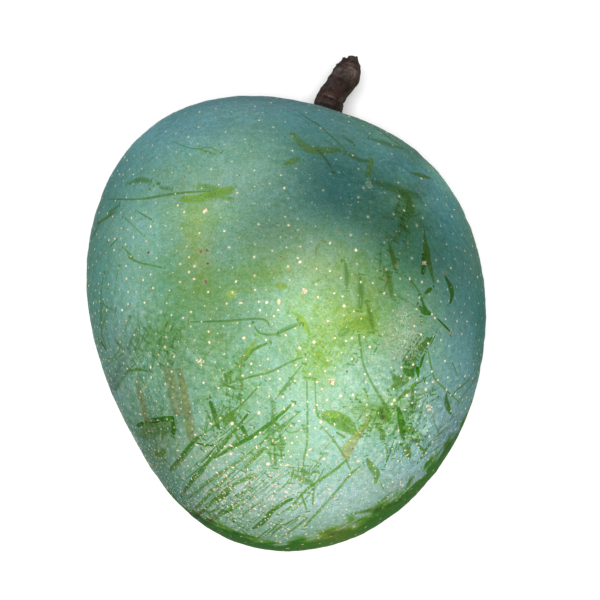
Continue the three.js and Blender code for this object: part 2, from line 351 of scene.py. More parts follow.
# Each mark has its kind, then points as pixel across, pixel down and width in pixels.
MARKS = [
    # the hook on the left flank and what lies round it
    ("slash", (137, 426, 3), (145, 423, 5), (156, 420.5, 5), (169, 418.5, 5), (174, 419, 4)),
    ("slash", (172.5, 419, 5), (173.5, 427, 6), (173, 434, 5)),
    ("leaf", (142, 426.5, 2), (156, 425, 2), (170, 422, 1)),
    ("faint", (141, 433, 8), (150, 431, 13), (170, 428, 8)),
    ("faint", (140, 437, 8), (150, 438, 8)),
    ("leaf", (155, 455, 3), (160, 455, 8), (165, 450, 5)),
    ("leaf", (160, 456, 4), (168, 463, 1)),
    ("tan", (137, 380, 8), (142, 400, 13), (147, 420, 13)),
    ("tan", (168, 368, 10), (173, 392, 14), (178, 414, 12)),
    ("tan", (180, 372, 6), (184, 394, 10), (188, 416, 12), (191, 440, 9)),
    ("brown", (138, 384, 1), (141, 398, 2), (144, 414, 2)),
    ("brown", (181, 372, 1), (184, 392, 3), (187, 412, 2), (190, 434, 1)),
    ("faint", (115, 391, 4), (124, 376, 4), (134.5, 364, 1)),
    ("leaf", (127, 371.5, 2), (137, 369.4, 3), (149, 371.5, 2)),
    ("line", (137, 371, 1), (147.5, 390, 2)),
    ("leaf", (98, 338, 5), (106, 349, 4)),
    ("leaf", (116, 341, 3), (123, 349, 1)),
    ("line", (107, 358.7, 1), (116, 358, 1), (124.5, 353.6, 1)),
    ("deep", (128, 419, 2), (131.6, 424.7, 2)),
    # long parallel rubs up from the apex on the left
    ("deep", (170, 470, 3), (182, 456, 4), (194, 441, 4), (202, 435, 2)),
    ("line", (173, 471, 1), (185, 457, 2), (198, 441, 1)),
    ("line", (200, 437, 1), (222, 420, 2), (242, 404, 2), (263, 381, 1)),
    (
        "deep", (181, 497, 2), (190, 483, 4), (201, 471, 5), (208, 462, 3), (219.5, 449, 4),
        (232, 434, 3), (248, 414, 2),
    ),
    ("deep", (213, 459, 2), (236, 445, 4), (254.8, 434.8, 4), (277.6, 417, 3), (292, 404, 2)),
    ("line", (232, 468, 1), (244, 457.6, 2), (259, 445, 2), (275.5, 430.6, 2), (302.5, 409.8, 1)),
    ("leaf", (244, 469, 2), (256.8, 455.5, 4), (265, 447, 2)),
    ("line", (183, 504, 2), (192.5, 495, 2), (217, 476, 3), (240, 460, 1)),
    ("leaf", (186, 518, 2), (201, 503, 3), (221.5, 482.5, 3), (236, 470, 1)),
    ("leaf", (192, 524, 3), (219.5, 495, 3), (234, 484.6, 3), (252.7, 476, 5), (258, 477, 2)),
    ("leaf", (203, 526, 3), (221.5, 513.7, 4), (240, 505, 2)),
    ("deep", (211, 504, 4), (220, 498, 6), (233, 489, 3)),
    ("deep", (204, 510, 3), (196, 516, 5), (190, 518, 3)),
    ("deep", (252.7, 529, 4), (263, 522, 6), (271.4, 511.7, 5), (284, 503, 4), (294, 498, 3)),
    ("leaf", (301, 515, 2), (290, 522, 3), (279, 528, 3), (272, 534, 2)),
    ("leaf", (308, 517, 2), (295, 528, 3), (283, 537, 2)),
    ("line", (241, 518, 1), (249, 510, 2), (257, 504, 1)),
    ("deep", (210, 401, 3), (214, 412, 5), (219, 430, 3)),
    ("line", (206, 410, 2), (211, 422, 2), (215, 434, 1)),
    ("deep", (242, 426, 4), (247.5, 440, 4)),
    ("leaf", (235, 432, 3), (239, 441, 3)),
    ("faint", (239, 368, 4), (242, 387, 4)),
    ("leaf", (224.5, 373, 3), (227, 383, 3)),
    ("leaf", (230, 375, 2), (231, 384, 2)),
    ("leaf", (236, 410, 3), (229, 417, 8), (224, 424, 6)),
    ("leaf", (238, 426, 1), (232, 418, 6), (227, 411, 3)),
    ("faint", (271, 397, 3), (273.5, 410, 5), (271, 422, 2)),
    ("leaf", (274.5, 447, 2), (275.5, 466, 3)),
    ("line", (280, 447, 2), (282, 460, 1)),
    ("line", (269, 451, 2), (272, 464, 1)),
    ("leaf", (301, 494, 2), (307, 510, 2)),
    ("leaf", (313, 488, 3), (313, 505, 2)),
    ("slash", (195.6, 443, 1), (206, 445, 2), (217, 446, 1)),
    ("line", (248.5, 472, 1), (250.6, 493, 1)),
    # left cheek
    ("line", (97, 224, 3), (106, 218, 4), (115, 212, 2)),
    ("faint", (92, 238, 3), (100, 223, 5)),
    ("line", (110, 247, 2), (118, 238, 2)),
    ("line", (124, 248, 1), (131, 256, 3)),
    ("line", (128, 257, 2), (140, 263, 2), (150, 265, 2), (163, 268, 1)),
    ("faint", (104, 274, 2), (101, 292, 3), (101, 314, 4), (102, 335, 6), (107, 348, 3)),
    ("faint", (94, 296, 1), (104, 305, 2), (115, 311, 1)),
    ("line", (108, 199, 1), (141, 199, 2), (165, 195, 3), (192, 192, 2), (232, 190, 1)),
    ("fresh", (181, 199, 6), (197, 199, 8), (212, 195, 9), (233, 189, 8)),
    ("olive", (196, 187, 5), (206, 187, 7), (219, 189, 5)),
    ("olive", (204, 197, 5), (213, 193, 8), (222, 193, 5)),
    ("olive", (219, 197, 4), (232, 199, 4)),
    ("line", (173, 141, 0.5), (183, 146, 1), (197, 149, 1), (209, 147, 1), (219, 152, 0.5)),
    ("olive", (199, 149, 2), (208, 152, 3), (217, 155, 2)),
    ("faint", (128, 184, 3), (138, 180, 7), (149, 181, 5)),
    ("leaf", (156, 184, 3), (160, 183, 3)),
    ("leaf", (148, 189, 2), (151, 189, 2)),
    ("faint", (160, 187, 4), (170, 189, 4)),
    ("line", (137, 211, 1), (152, 220, 2)),
    ("line", (124, 217, 1), (143, 235, 1)),
    ("faint", (108, 214, 6), (118, 206, 5)),
    # the middle of the cheek
    ("line", (190, 322, 1), (225, 321, 2), (262, 319, 2), (270, 328, 1)),
    ("line", (254, 325, 1), (260, 333, 2), (276, 334, 2), (300, 324, 1)),
    ("line", (217, 387, 1), (250, 377, 2), (270, 372, 2), (290, 362, 2), (304, 357, 1)),
    ("line", (275, 400, 1), (286, 385, 2), (302, 365, 1)),
    ("fresh", (290, 312, 1), (299, 316, 4), (305, 325, 5), (310, 336, 2)),
    ("faint", (279, 331, 2), (288, 328, 4), (298, 323, 2)),
    ("fresh", (239, 364, 2), (246, 354, 5), (254, 343, 4), (256, 338, 2)),
    ("leaf", (244, 362, 2), (253, 350, 3), (268, 343, 2)),
    ("faint", (224, 380, 3), (231, 374, 6), (238, 366, 2)),
    ("fresh", (276, 285, 4), (282, 286, 7), (287, 287, 3)),
    ("olive", (338, 336, 3), (344, 332, 9), (350, 329, 4)),
    ("line", (359, 334, 2), (361, 350, 2), (364, 366, 2), (373, 385, 2), (381, 398, 3), (387, 409, 2)),
    ("brown", (320.5, 242, 1), (316, 249.5, 2), (315.6, 256.6, 1)),
    ("fresh", (350, 326, 5), (361, 323, 14), (372, 320, 5)),
    ("faint", (291.5, 382, 3), (287, 387, 4), (282, 392, 2)),
    ("line", (306.8, 380, 1), (307.5, 417, 2), (307, 443, 2), (304, 458, 2), (301.4, 476, 1)),
    ("line", (315.2, 380, 1), (315.6, 399, 1), (317.5, 415, 2), (321, 419, 1)),
    ("line", (280, 431, 1), (288, 423, 2), (296, 414, 1)),
    ("faint", (284, 428, 1), (290, 433, 2), (303, 429, 1)),
    ("faint", (290, 474, 4), (298, 477, 9), (306, 481, 10), (313, 486, 4)),
    ("leaf", (296, 471, 3), (303, 470, 4), (309, 474, 2)),
    # the shoulder below the stalk
    ("olive", (292, 133, 6), (300, 142, 8), (309, 149, 11), (322, 150, 10), (341, 150, 5)),
    ("line", (297, 111, 1), (309, 119, 2), (321, 127, 2), (344, 148, 1)),
    ("line", (306, 113, 1), (313, 117, 1)),
    ("faint", (347, 154, 4), (360, 160, 6), (370, 161, 4)),
    ("olive", (372, 157, 3), (370, 167, 6), (368, 177, 5)),
    ("faint", (343, 137, 3), (353, 143, 6)),
    ("leaf", (354, 119, 1), (372, 125.5, 2), (392, 139.5, 3), (409, 152, 1)),
    ("faint", (371, 139, 5), (384, 143, 10), (401, 148, 7)),
    ("line", (406, 149, 1), (418, 166, 1)),
    ("leaf", (410, 172, 2), (419, 175, 6), (431, 178, 2)),
    ("pale", (368, 182.5, 8), (369.5, 187, 9)),
    ("faint", (320, 152, 4), (327, 161, 3), (333, 171, 1)),
    ("olive", (284, 165, 3), (292, 161, 8), (300, 158, 3)),
    ("faint", (375, 182, 6), (388, 187, 11), (402, 192, 15), (418, 196, 9)),
    ("faint", (404, 193, 8), (409, 203, 13), (413, 213, 8)),
    ("leaf", (388.5, 240, 1), (391, 250, 4), (394, 262, 5), (395, 270, 2)),
    # right flank
    ("leaf", (424.5, 229, 1), (425, 240, 4), (426.5, 252, 9), (426, 262, 11)),
    ("deep", (424, 258, 5), (423, 274, 5)),
    ("leaf", (429, 262, 6), (431, 270, 5), (434, 283, 2)),
    ("line", (397, 295.8, 1), (411.7, 303.7, 1), (420.4, 310, 1)),
    ("line", (404, 275, 1), (413, 283, 2), (421.8, 296, 1)),
    ("deep", (445, 276, 2), (451, 288, 7), (452, 296, 5), (449.5, 304, 2)),
    ("deep", (424, 294, 2), (428, 291, 4), (432, 288, 3)),
    ("deep", (419, 306, 2), (424, 311, 7), (431, 314, 3)),
    ("deep", (421, 297, 3), (423, 303, 3), (426, 311, 4)),
    ("deep", (421.3, 319, 2), (421.3, 322.5, 3)),
    ("slash", (436.6, 318, 1), (445, 326, 2), (450.4, 332, 1)),
    ("deep", (428, 337, 3), (425, 344, 6), (417, 350, 6), (411, 361, 12), (409, 370, 13), (414, 377, 3)),
    ("deep", (425, 353, 1), (422, 361, 3), (419.8, 368, 2)),
    ("slash", (417, 367, 4), (418, 372, 4), (418.3, 378, 1)),
    ("leaf", (391, 389, 5), (399, 384, 8), (409, 379, 5)),
    ("leaf", (393, 374, 3), (397, 381, 7), (403, 375, 5)),
    ("leaf", (415, 384, 5), (406, 392, 5), (395, 403, 2)),
    ("leaf", (413, 388, 4), (411.7, 402, 3)),
    ("line", (416.7, 401, 1), (414.4, 410, 2)),
    (
        "line", (428, 351, 1), (430.5, 363, 1.6), (432, 370, 1.6), (435, 379, 1.6), (446, 390, 2),
        (459, 402, 1),
    ),
    ("line", (451, 359, 1), (455, 369, 2), (458, 378, 1)),
    ("faint", (469, 380, 2), (462, 386, 3), (455, 392, 1)),
    ("faint", (479, 369, 3), (473, 382, 4), (459.6, 400, 2)),
    ("line", (475.6, 340, 1), (473.3, 357, 1)),
    ("deep", (446.6, 392, 1), (446, 400, 6), (448, 407, 7), (451.5, 415, 1)),
    # lower right
    ("leaf", (322, 415, 6), (331, 417, 13), (342, 422, 15), (351, 429, 11), (356, 434, 4)),
    ("fresh", (324, 413, 2), (333, 414, 6), (342, 418, 3)),
    ("leaf", (336, 432, 2), (345, 437.5, 3)),
    ("brown", (370.3, 417.5, 3), (364, 427, 5), (357, 436.5, 7), (350, 445, 11), (345.5, 455, 10)),
    ("brown", (369, 419, 2), (362, 430, 3), (355, 443, 3), (348, 456, 2)),
    ("deep", (371, 418, 1), (366.5, 426, 1.5), (361, 434, 0.8)),
    ("tan", (343, 449, 1), (342, 456, 1.5), (347, 458.5, 1)),
    ("straw", (357, 439, 2), (350, 447, 6), (347, 453, 5)),
    ("line", (323.6, 429, 1), (333.6, 440, 2), (343.5, 455, 2), (347.3, 463, 2), (351, 471, 1)),
    ("scrape", (352, 410, 6), (370, 412, 16), (388, 414, 10)),
    ("leaf", (378, 408, 4), (384, 413, 12), (389, 421, 5)),
    ("leaf", (381, 434, 4), (382, 440, 3)),
    ("leaf", (347, 459, 2), (340, 466, 3), (326, 476, 3), (314, 484, 3), (305, 491, 3), (297, 500, 2)),
    ("leaf", (362, 465, 1), (352, 473, 3), (341, 486, 3), (329, 500, 3), (314, 516, 3), (304, 528, 2)),
    ("leaf", (366.5, 458, 2), (371.5, 467, 7), (377, 475, 7), (375, 484, 2)),
    ("line", (380, 482, 1), (384, 490, 1)),
    ("line", (385.6, 447, 1), (388, 454, 2), (384.8, 466, 1)),
    ("line", (397.8, 441, 1), (393.2, 456.5, 1.5)),
    ("faint", (350, 514, 3), (366, 511, 7), (382, 509, 9), (400, 500, 9)),
    ("leaf", (358, 513, 1), (372, 510, 3), (388, 506, 3)),
    ("deep", (398, 407, 3), (400.5, 418, 7), (403, 430, 8), (404, 440, 5)),
    ("leaf", (403, 427, 4), (412, 431, 8), (421, 436, 5)),
    ("leaf", (406, 437, 3), (415, 441, 5), (424, 440, 3)),
    ("deep", (394, 440, 1), (389, 455, 2), (384, 468, 1)),
    ("leaf", (403, 446, 4), (408, 451, 8), (410, 458, 4)),
    ("deep", (431, 443, 2), (425.5, 450, 5), (420, 460, 3)),
    ("deep", (418, 445, 2), (422, 449, 3), (427, 452, 2)),
    ("line", (442, 444.5, 1), (431, 452, 1.5), (420, 460, 1)),
    ("faint", (431, 411, 1), (435, 423, 2), (439, 434, 2)),
    ("leaf", (381, 501, 4), (385.5, 498, 6), (389, 494, 3)),
    ("leaf", (378, 428, 3), (383, 433, 5), (385, 440, 3)),
    ("line", (414, 404, 1), (416.5, 400, 1.5), (417.5, 396, 1)),
    ("frost", (404, 442, 3), (414, 436, 5), (426, 430, 4)),
    ("frost", (425, 470, 4), (434, 458, 5), (446, 440, 4)),
    ("frost", (212, 516, 2), (224, 523, 4), (238, 530, 3)),
    ("frost", (222, 508, 2), (236, 516, 5), (250, 522, 3)),
    ("olive", (337, 534, 3), (343, 530, 6), (349, 527, 3)),
    ("brown", (324, 537, 2), (332, 534, 4), (341, 527, 4), (346, 524, 2)),
    ("faint", (360, 276, 2), (361, 292, 7), (360, 309, 4)),
    ("faint", (367, 303, 2), (371, 318, 6), (373, 330, 3)),
    ("faint", (345, 262, 2), (347, 276, 6), (346, 290, 2)),
    ("faint", (386, 268, 3), (390, 284, 7), (392, 298, 3)),
    ("fresh", (204, 197, 1), (211, 193, 2), (219, 191, 1)),
    ("fresh", (226, 190, 1), (232, 190, 1)),
    ("fresh", (316, 282, 2), (320, 279, 3), (323, 277, 2)),
    ("straw", (379, 240, 1), (386, 237, 1), (393, 238, 1)),
]

# Sheaves of short fine strokes: kind, middle pixel, reach along and across, lean in degrees, how many, and
# the strokes' length and width in pixels.
SHEAVES = [
    ("leaf", (212, 420), (14, 6), 80, 6, 14, 1.6),
    ("leaf", (234, 396), (14, 10), 84, 9, 11, 1.8),
    ("leaf", (228, 418), (8, 9), 60, 9, 9, 2.2),
    ("leaf", (240, 430), (34, 16), 41, 7, 22, 1.6),
    ("line", (228, 470), (44, 40), 41, 14, 46, 1.2),
    ("line", (272, 500), (44, 26), 43, 10, 40, 1.2),
    ("deep", (205, 458), (34, 10), 42, 3, 20, 1.8),
    ("faint", (275, 438), (12, 8), 86, 12, 11, 1.8),
    ("leaf", (275, 425), (26, 12), 44, 9, 16, 1.5),
    ("leaf", (230, 492), (36, 14), 38, 8, 20, 1.8),
    ("deep", (222, 514), (28, 8), 34, 9, 16, 2.4),
    ("leaf", (290, 512), (34, 16), 40, 9, 20, 1.8),
    ("line", (318, 470), (26, 18), 50, 8, 14, 1.5),
    ("faint", (303, 478), (10, 12), 80, 6, 12, 2.4),
    ("line", (103, 315), (44, 7), 76, 12, 20, 1.4),
    ("line", (120, 360), (16, 14), 45, 7, 15, 1.4),
    ("olive", (158, 430), (16, 6), 8, 6, 18, 1.6),
    ("olive", (158, 452), (16, 10), 60, 8, 10, 2.4),
    ("fresh", (318, 348), (24, 16), 52, 22, 8, 2.0),
    ("fresh", (322, 352), (20, 16), -38, 14, 7, 1.8),
    ("leaf", (352, 404), (14, 7), 30, 4, 7, 2.0),
    ("leaf", (386, 418), (18, 14), 62, 18, 11, 2.4),
    ("leaf", (366, 424), (14, 10), 55, 8, 9, 2.2),
    ("deep", (424, 392), (12, 12), 28, 9, 12, 1.4),
    ("deep", (417, 352), (18, 8), 60, 12, 11, 2.6),
    ("line", (448, 430), (22, 8), 34, 9, 18, 1.5),
    ("line", (462, 392), (18, 7), 42, 6, 14, 1.4),
    ("leaf", (400, 452), (16, 12), 64, 6, 12, 2.0),
    ("faint", (390, 262), (30, 12), 76, 10, 14, 2.4),
    ("faint", (405, 214), (26, 12), 70, 8, 14, 2.4),
    ("faint", (150, 345), (26, 30), 70, 8, 16, 3.5),
    ("frost", (428, 425), (18, 16), 35, 16, 11, 1.6),
    ("frost", (425, 462), (22, 14), 48, 12, 11, 1.8),
    ("frost", (228, 520), (22, 8), -32, 14, 9, 1.5),
    ("frost", (405, 360), (24, 20), 70, 10, 9, 1.5),
    ("deep", (415, 432), (18, 12), 65, 9, 8, 1.8),
    ("leaf", (410, 405), (18, 14), 70, 10, 9, 1.8),
    ("deep", (228, 522), (24, 7), -34, 8, 12, 2.0),
    ("line", (250, 478), (50, 36), 44, 12, 30, 1.0),
    ("leaf", (165, 340), (26, 18), 70, 12, 7, 2.0),
    ("leaf", (372, 354), (16, 14), 60, 5, 8, 2.0),
]
SHEAF = dict(
    turn=5,  # degrees by which headings scatter
    far=1.6,  # how far out a stroke may lie, before the spread
    spread=0.6,
    half=(0.25, 0.75),  # shares of the length, each way
    bend=0.08,
    width=(0.5, 1.1),
    taper=0.7,
)
STROKE_STEP = 4  # pixels between a stroke's points
HIDDEN_MARKS = 90
# What they are, with half their width in mm.
HIDDEN_KINDS = [
    ("line", 0.25), ("line", 0.25), ("leaf", 0.6), ("deep", 0.6), ("faint", 0.25),
    ("scrape", 3.2), ("fresh", 1.2), ("slash", 0.25), ("olive", 1.4),
]  # fmt: skip
HIDDEN_STROKE = dict(length=(4, 17), bend=0.06, points=9, radius=55, width=(0.7, 1.3), ends=(0.25, 2.9))
HIDDEN_FRONT = 0.6  # none reach where more than this of the photograph's marks shows
MARK_LAYERS = 6
MARK_MARGIN = 0.45  # how far beyond a mark's edge its faces still carry it, in mm
MARK_TIP = 2.2  # how fast a mark narrows beyond its ends
MARK_NONE = -9.0  # the half width on faces that carry no mark
MARK_GAP = 17.0  # between one stroke's streaks and the next one's, in mm

# ---- Lenticels. Prominent ones have their pixel; the rest are spread.
LARGE_PORES = [
    (122, 310), (344, 306), (314, 342), (370, 347), (259, 413), (293, 405), (341, 396), (353, 395),
    (327, 400), (321, 422), (232, 423.5), (231, 454), (268, 464), (324, 459), (433, 382), (426, 389.5),
    (446.6, 389.5), (407, 395.5), (394.5, 400), (392, 404), (244, 338), (300, 262), (356, 250), (194.5, 266),
]  # fmt: skip
PLAIN_PORES = [
    (131.5, 218), (184, 212), (199.5, 233), (146, 241), (109, 240), (114, 250), (126, 266), (180, 264),
    (189, 272), (194, 279), (180, 282), (208, 292), (143, 280), (153, 288), (128, 304), (161, 312),
    (183, 318), (191, 312), (166, 337), (134, 335), (330, 243), (351, 235), (357, 264), (298, 258),
    (254, 257), (330, 271), (341, 278), (361, 282), (373, 283), (318, 297), (255, 290), (274, 316),
    (278, 310), (328, 321), (335, 338), (346, 341), (352, 338), (364, 337), (352, 359), (296, 365),
    (278, 371), (268, 359), (266, 340), (310, 374), (365, 374), (295, 381), (280, 379), (317, 382),
    (366, 382), (283, 397), (269, 396), (314, 410), (317, 405), (299, 421), (291, 426), (292, 443),
    (285, 438), (297, 437), (307, 455), (281, 465), (412, 258), (422, 282), (438, 281), (465, 251),
    (432, 314), (435, 318), (441, 340), (449, 346), (401.6, 367.5), (401, 376), (410, 378), (417, 380),
    (427, 383), (432, 371.5), (445, 361), (448, 377.5), (438, 380), (465, 376), (419.5, 406), (425, 415.7),
]  # fmt: skip
RING_PORES = [
    (442, 330.5), (451.2, 332.5), (148.5, 252.5), (201, 252),
    (207.5, 251), (208, 263.5), (444, 272), (205.6, 281.5),
]  # fmt: skip
# With their half width in mm and their tone.
PLACED_PORES = [(LARGE_PORES, 0.5, 0.12), (PLAIN_PORES, 0.36, 0.2), (RING_PORES, 0.5, 0.84)]
# Scabs: middle pixel and reach, each strewn with small crumbs of cork.
SCABS = [
    (332, 381, 3.5), (304, 291, 2.5), (279, 302, 2.5), (200, 362, 4),
    (429, 407.5, 3), (205, 211, 2), (424, 263, 2),
]  # fmt: skip
SCAB_CRUMBS = 15
PORE_GAPS = (1.15, 2.6, 4.8)  # between the rest, in mm, from apex to stem
GAP_PLACES = [(-62, -8), (-8, 58)]  # along the fruit, in mm, where the gap changes
# Where they crowd: middle pixel, reach, lean and how much closer they are.
PORE_CROWDS = [((268, 488), (50, 28), 0, 0.3), ((400, 470), (46, 36), 0, 0.3)]
RIM_GAP = 2.2  # how much wider the gaps are in the green band
GAP_SWING, APEX_SWING = [(14.0, 0.13, 5)], [(5.0, 0.2, 6)]
PORE_TRIES = 60000
PORE_LIMIT = 7900
PORE_CELL = 3.0  # of the table that finds a lenticel's neighbours, in mm
STALK_CLEAR = 5.0  # none within this of the stalk's axis, in mm
PORE_LOW = (-20, -48)  # along the fruit, where they turn smaller and longer
PORE_RINGS = [(1.0, -0.04, 0.0), (0.62, 0.05, 0.6)]  # share of the size, height in mm, height as a look
PORE_RAGGED, PORE_BEND = 0.16, 0.5
PORE_TOP, PORE_ROOT = 0.08, -0.12  # above the skin and below it, in mm
# How looks scatter. Placed ones: shares of their width, length to width, and tone. Crumbs: half length, half
# width and tone. Strewn ones: half width in mm, length to width and tone, and what changes low down.
PLACED_LOOK = dict(width=(0.9, 1.1), length=(1.0, 1.35), tone=(-0.1, 0.15))
SCAB_LOOK = [(0.22, 0.5), (0.14, 0.26), (0.15, 0.5)]
STREWN_LOOK = dict(
    least=0.13, more=0.25, rarity=1.7, low_less=0.25, rods=0.06, low_rods=0.5, rod=(1.5, 2.4),
    low_rod=1.2, dot=(1.0, 1.4), tone=(0.0, 0.4), low_tone=0.2, dark_share=0.05, dark=0.8,
)  # fmt: skip
REST_CLEARANCE = 0.0005  # none where the fruit rests on the floor, in metres

# ---- Floor, light and world.
KEY_POWER = 31.0
KEY_SIZE = 0.26
KEY_DISTANCE = 1.4
KEY_LOWER = 0.01  # how far the key stands below the camera's axis, as a share of its distance
WORLD_STRENGTH = 0.2
FLOOR_HALF = 4.0
FLOOR_DROP = 0.0003
FLOOR_TINTS = ((0.74, 0.74, 0.74), (0.76, 0.76, 0.76))
FLOOR_MOTTLE = 3.0  # its scale per metre
FLOOR_ROUGHNESS = 0.9


# ---- Frames and small formulas.
def unit(vectors):
    return vectors / np.linalg.norm(vectors, axis=-1, keepdims=True)


def turn_down(directions):
    """Directions from the fruit's frame to the row frame."""
    d = np.asarray(directions, float)
    c, s = math.cos(REST_PITCH), math.sin(REST_PITCH)
    return np.stack([d[..., 0], c * d[..., 1] - s * d[..., 2], s * d[..., 1] + c * d[..., 2]], -1)


def lay(points):
    """Points from the fruit's frame in millimetres to the row frame in metres."""
    return (turn_down(points) + MIDDLE_AT_REST) * MILLI


def smoothstep(low, high, x):
    t = np.clip((x - low) / (high - low), 0, 1)
    return t * t * (3 - 2 * t)


def wave(turns):
    return np.sin(FULL_TURN * turns)


def turned_from(heading, turn):
    """How far turns are from a heading, between minus and plus half a turn."""
    return (turn - heading + math.pi) % FULL_TURN - math.pi


def course(values, share):
    """A smooth course through values at equal steps, read at shares of its length."""
    values = np.asarray(values, float)
    last = len(values) - 1
    place = np.clip(share, 0, 1) * last
    k = np.minimum(place.astype(int), last - 1)
    f = (place - k).reshape(place.shape + (1,) * (values.ndim - 1))
    before, here = values[np.maximum(k - 1, 0)], values[k]
    there, beyond = values[k + 1], values[np.minimum(k + 2, last)]
    start, end = (there - before) / 2, (beyond - here) / 2
    bend, twist = 3 * (there - here) - 2 * start - end, 2 * (here - there) + start + end
    return here + f * (start + f * (bend + f * twist))


def lengths_along(path):
    """The length of a path up to each of its points."""
    return np.concatenate([[0], np.cumsum(np.linalg.norm(np.diff(path, axis=0), axis=1))])


def rumple(points, size, seed, waves=14, spread=(0.7, 1.5)):
    """A smooth random field of about unit height whose bumps are about size apart."""
    random = np.random.default_rng(seed)
    ways = unit(random.normal(size=(waves, 3)))
    paces = FULL_TURN / (size * random.uniform(*spread, waves))
    phases = random.uniform(0, FULL_TURN, waves)
    return math.sqrt(2 / waves) * np.sin(points @ (ways * paces[:, None]).T + phases).sum(-1)


def bumps(points, rows):
    """Random fields of several sizes together."""
    return sum(height * rumple(points, size, seed) for size, height, seed in rows)


def add_object(name, data):
    made = bpy.data.objects.new(name, data)
    bpy.context.scene.collection.objects.link(made)
    return made


# ---- Camera.
def camera_axes():
    """The picture's right, its up and the way back to the camera, in the fruit's frame."""
    back = np.array([0, -math.sin(CAMERA_TILT), math.cos(CAMERA_TILT)])
    along = np.array([0, math.cos(CAMERA_TILT), math.sin(CAMERA_TILT)])
    across = np.array([1.0, 0, 0])
    c, s = math.cos(CAMERA_ROLL), math.sin(CAMERA_ROLL)
    return c * across + s * along, c * along - s * across, back


PICTURE_RIGHT, PICTURE_UP, TO_CAMERA = camera_axes()
FOCAL_PIXELS = CAMERA_DISTANCE / MM_PER_PIXEL
AIM_RIGHT = (PHOTO_SIZE / 2 - MIDDLE_PIXEL[0]) * MM_PER_PIXEL
AIM_UP = (MIDDLE_PIXEL[1] - PHOTO_SIZE / 2) * MM_PER_PIXEL
CAMERA_PLACE = TO_CAMERA * CAMERA_DISTANCE + PICTURE_RIGHT * AIM_RIGHT + PICTURE_UP * AIM_UP


def make_camera():
    data = bpy.data.cameras.new("camera")
    data.sensor_width = SENSOR
    data.lens = SENSOR * FOCAL_PIXELS / PHOTO_SIZE
    data.clip_start, data.clip_end = CAMERA_CLIP
    camera = add_object("camera", data)
    axes = np.stack([turn_down(v) for v in (PICTURE_RIGHT, PICTURE_UP, TO_CAMERA)], -1)
    camera.matrix_world = Matrix.Translation(Vector(lay(CAMERA_PLACE))) @ Matrix(axes).to_4x4()
    bpy.context.scene.camera = camera


def cast(tree, x, y):
    """Where the ray through a pixel of the photograph meets the skin, and the face it meets."""
    right, up = (x - PHOTO_SIZE / 2) / FOCAL_PIXELS, (PHOTO_SIZE / 2 - y) / FOCAL_PIXELS
    ray = unit(PICTURE_RIGHT * right + PICTURE_UP * up - TO_CAMERA)
    place, _, face, _ = tree.ray_cast(Vector(CAMERA_PLACE), Vector(ray))
    return place, face


def pixels_of(points):
    """The photograph's pixels of points in the fruit's frame."""
    out = points - CAMERA_PLACE
    depth = -(out @ TO_CAMERA)
    across = PHOTO_SIZE / 2 + FOCAL_PIXELS * (out @ PICTURE_RIGHT) / depth
    return across, PHOTO_SIZE / 2 - FOCAL_PIXELS * (out @ PICTURE_UP) / depth


# ---- The skin's shape.
def round_trip(values, angle):
    """A smooth closed course through values at equal steps round a circle."""
    count = len(values)
    total = np.zeros_like(angle)
    for k, value in enumerate(values):
        away = angle - FULL_TURN * k / count
        half = np.sin(away / 2)
        near = np.abs(half) < 1e-9
        share = np.sin(count * away / 2) * np.cos(away / 2) / (count * np.where(near, 1, half))
        total += value * np.where(near, 1, share)
    return total


def skin_points(directions):
    """The skin's points for directions from the fruit's middle."""
    x, y, z = directions[..., 0], directions[..., 1], directions[..., 2]
    flat, high = np.hypot(x, y), np.abs(z)
    reach = (flat**CHEEK_FULLNESS + high**CHEEK_FULLNESS) ** (-1 / CHEEK_FULLNESS)
    rise = high * reach
    radius = round_trip(OUTLINE, np.arctan2(y, x)) * reach
    sides = [x * radius, y * radius + SHOULDER_SHIFT * rise**2, CHEEK_HEIGHT * rise * np.sign(z)]
    points = np.stack(sides, -1)
    px, py, pz = points[..., 0], points[..., 1], points[..., 2]
    level = wave((px - SWELL["start_x"]) / SWELL["across"]) * wave((py - SWELL["start_y"]) / SWELL["along"])
    swell = level + wave(pz / SWELL["up"] + px / SWELL["slant"])
    points = points + directions * (SWELL["height"] * swell)[..., None]
    basin = BASIN_DEPTH * np.exp(-((stalk_distance(points) / BASIN_RADIUS) ** 2))
    points[..., 1] -= np.where(points[..., 1] > 0, basin, 0)
    return points


def stalk_distance(points):
    """How far points are from the stalk's axis, seen along the fruit."""
    return np.hypot(points[..., 0] - BASIN_MIDDLE[0], points[..., 2] - BASIN_MIDDLE[1])


def skin_normals(directions, step=1e-3):
    """The skin's outward directions for directions from the fruit's middle."""
    helper = np.where(np.abs(directions[..., 2:]) < 0.7, [0.0, 0.0, 1.0], [1.0, 0.0, 0.0])
    across = unit(np.cross(helper, directions))
    along = np.cross(directions, across)
    slopes = [
        skin_points(unit(directions + step * way)) - skin_points(unit(directions - step * way))
        for way in (across, along)
    ]
    return unit(np.cross(*slopes))


def cube_grid(cells):
    """Directions to the points of a grid on a cube's faces, shared at its edges, and its quads."""
    steps = np.tan(np.linspace(-math.pi / 4, math.pi / 4, cells + 1))
    a, b = np.meshgrid(steps, steps, indexing="ij")
    ones = np.ones_like(a)
    faces = [(ones, a, b), (-ones, b, a), (b, ones, a), (a, -ones, b), (a, b, ones), (b, a, -ones)]
    points = unit(np.concatenate([np.stack(face, -1).reshape(-1, 3) for face in faces]))
    corner = (np.arange(cells)[:, None] * (cells + 1) + np.arange(cells)).ravel()
    quad = np.stack([corner, corner + cells + 1, corner + cells + 2, corner + 1], 1)
    quads = np.concatenate([quad + k * (cells + 1) ** 2 for k in range(6)])
    _, first, back = np.unique(np.round(points, 6), axis=0, return_index=True, return_inverse=True)
    return points[first], back.reshape(-1)[quads]


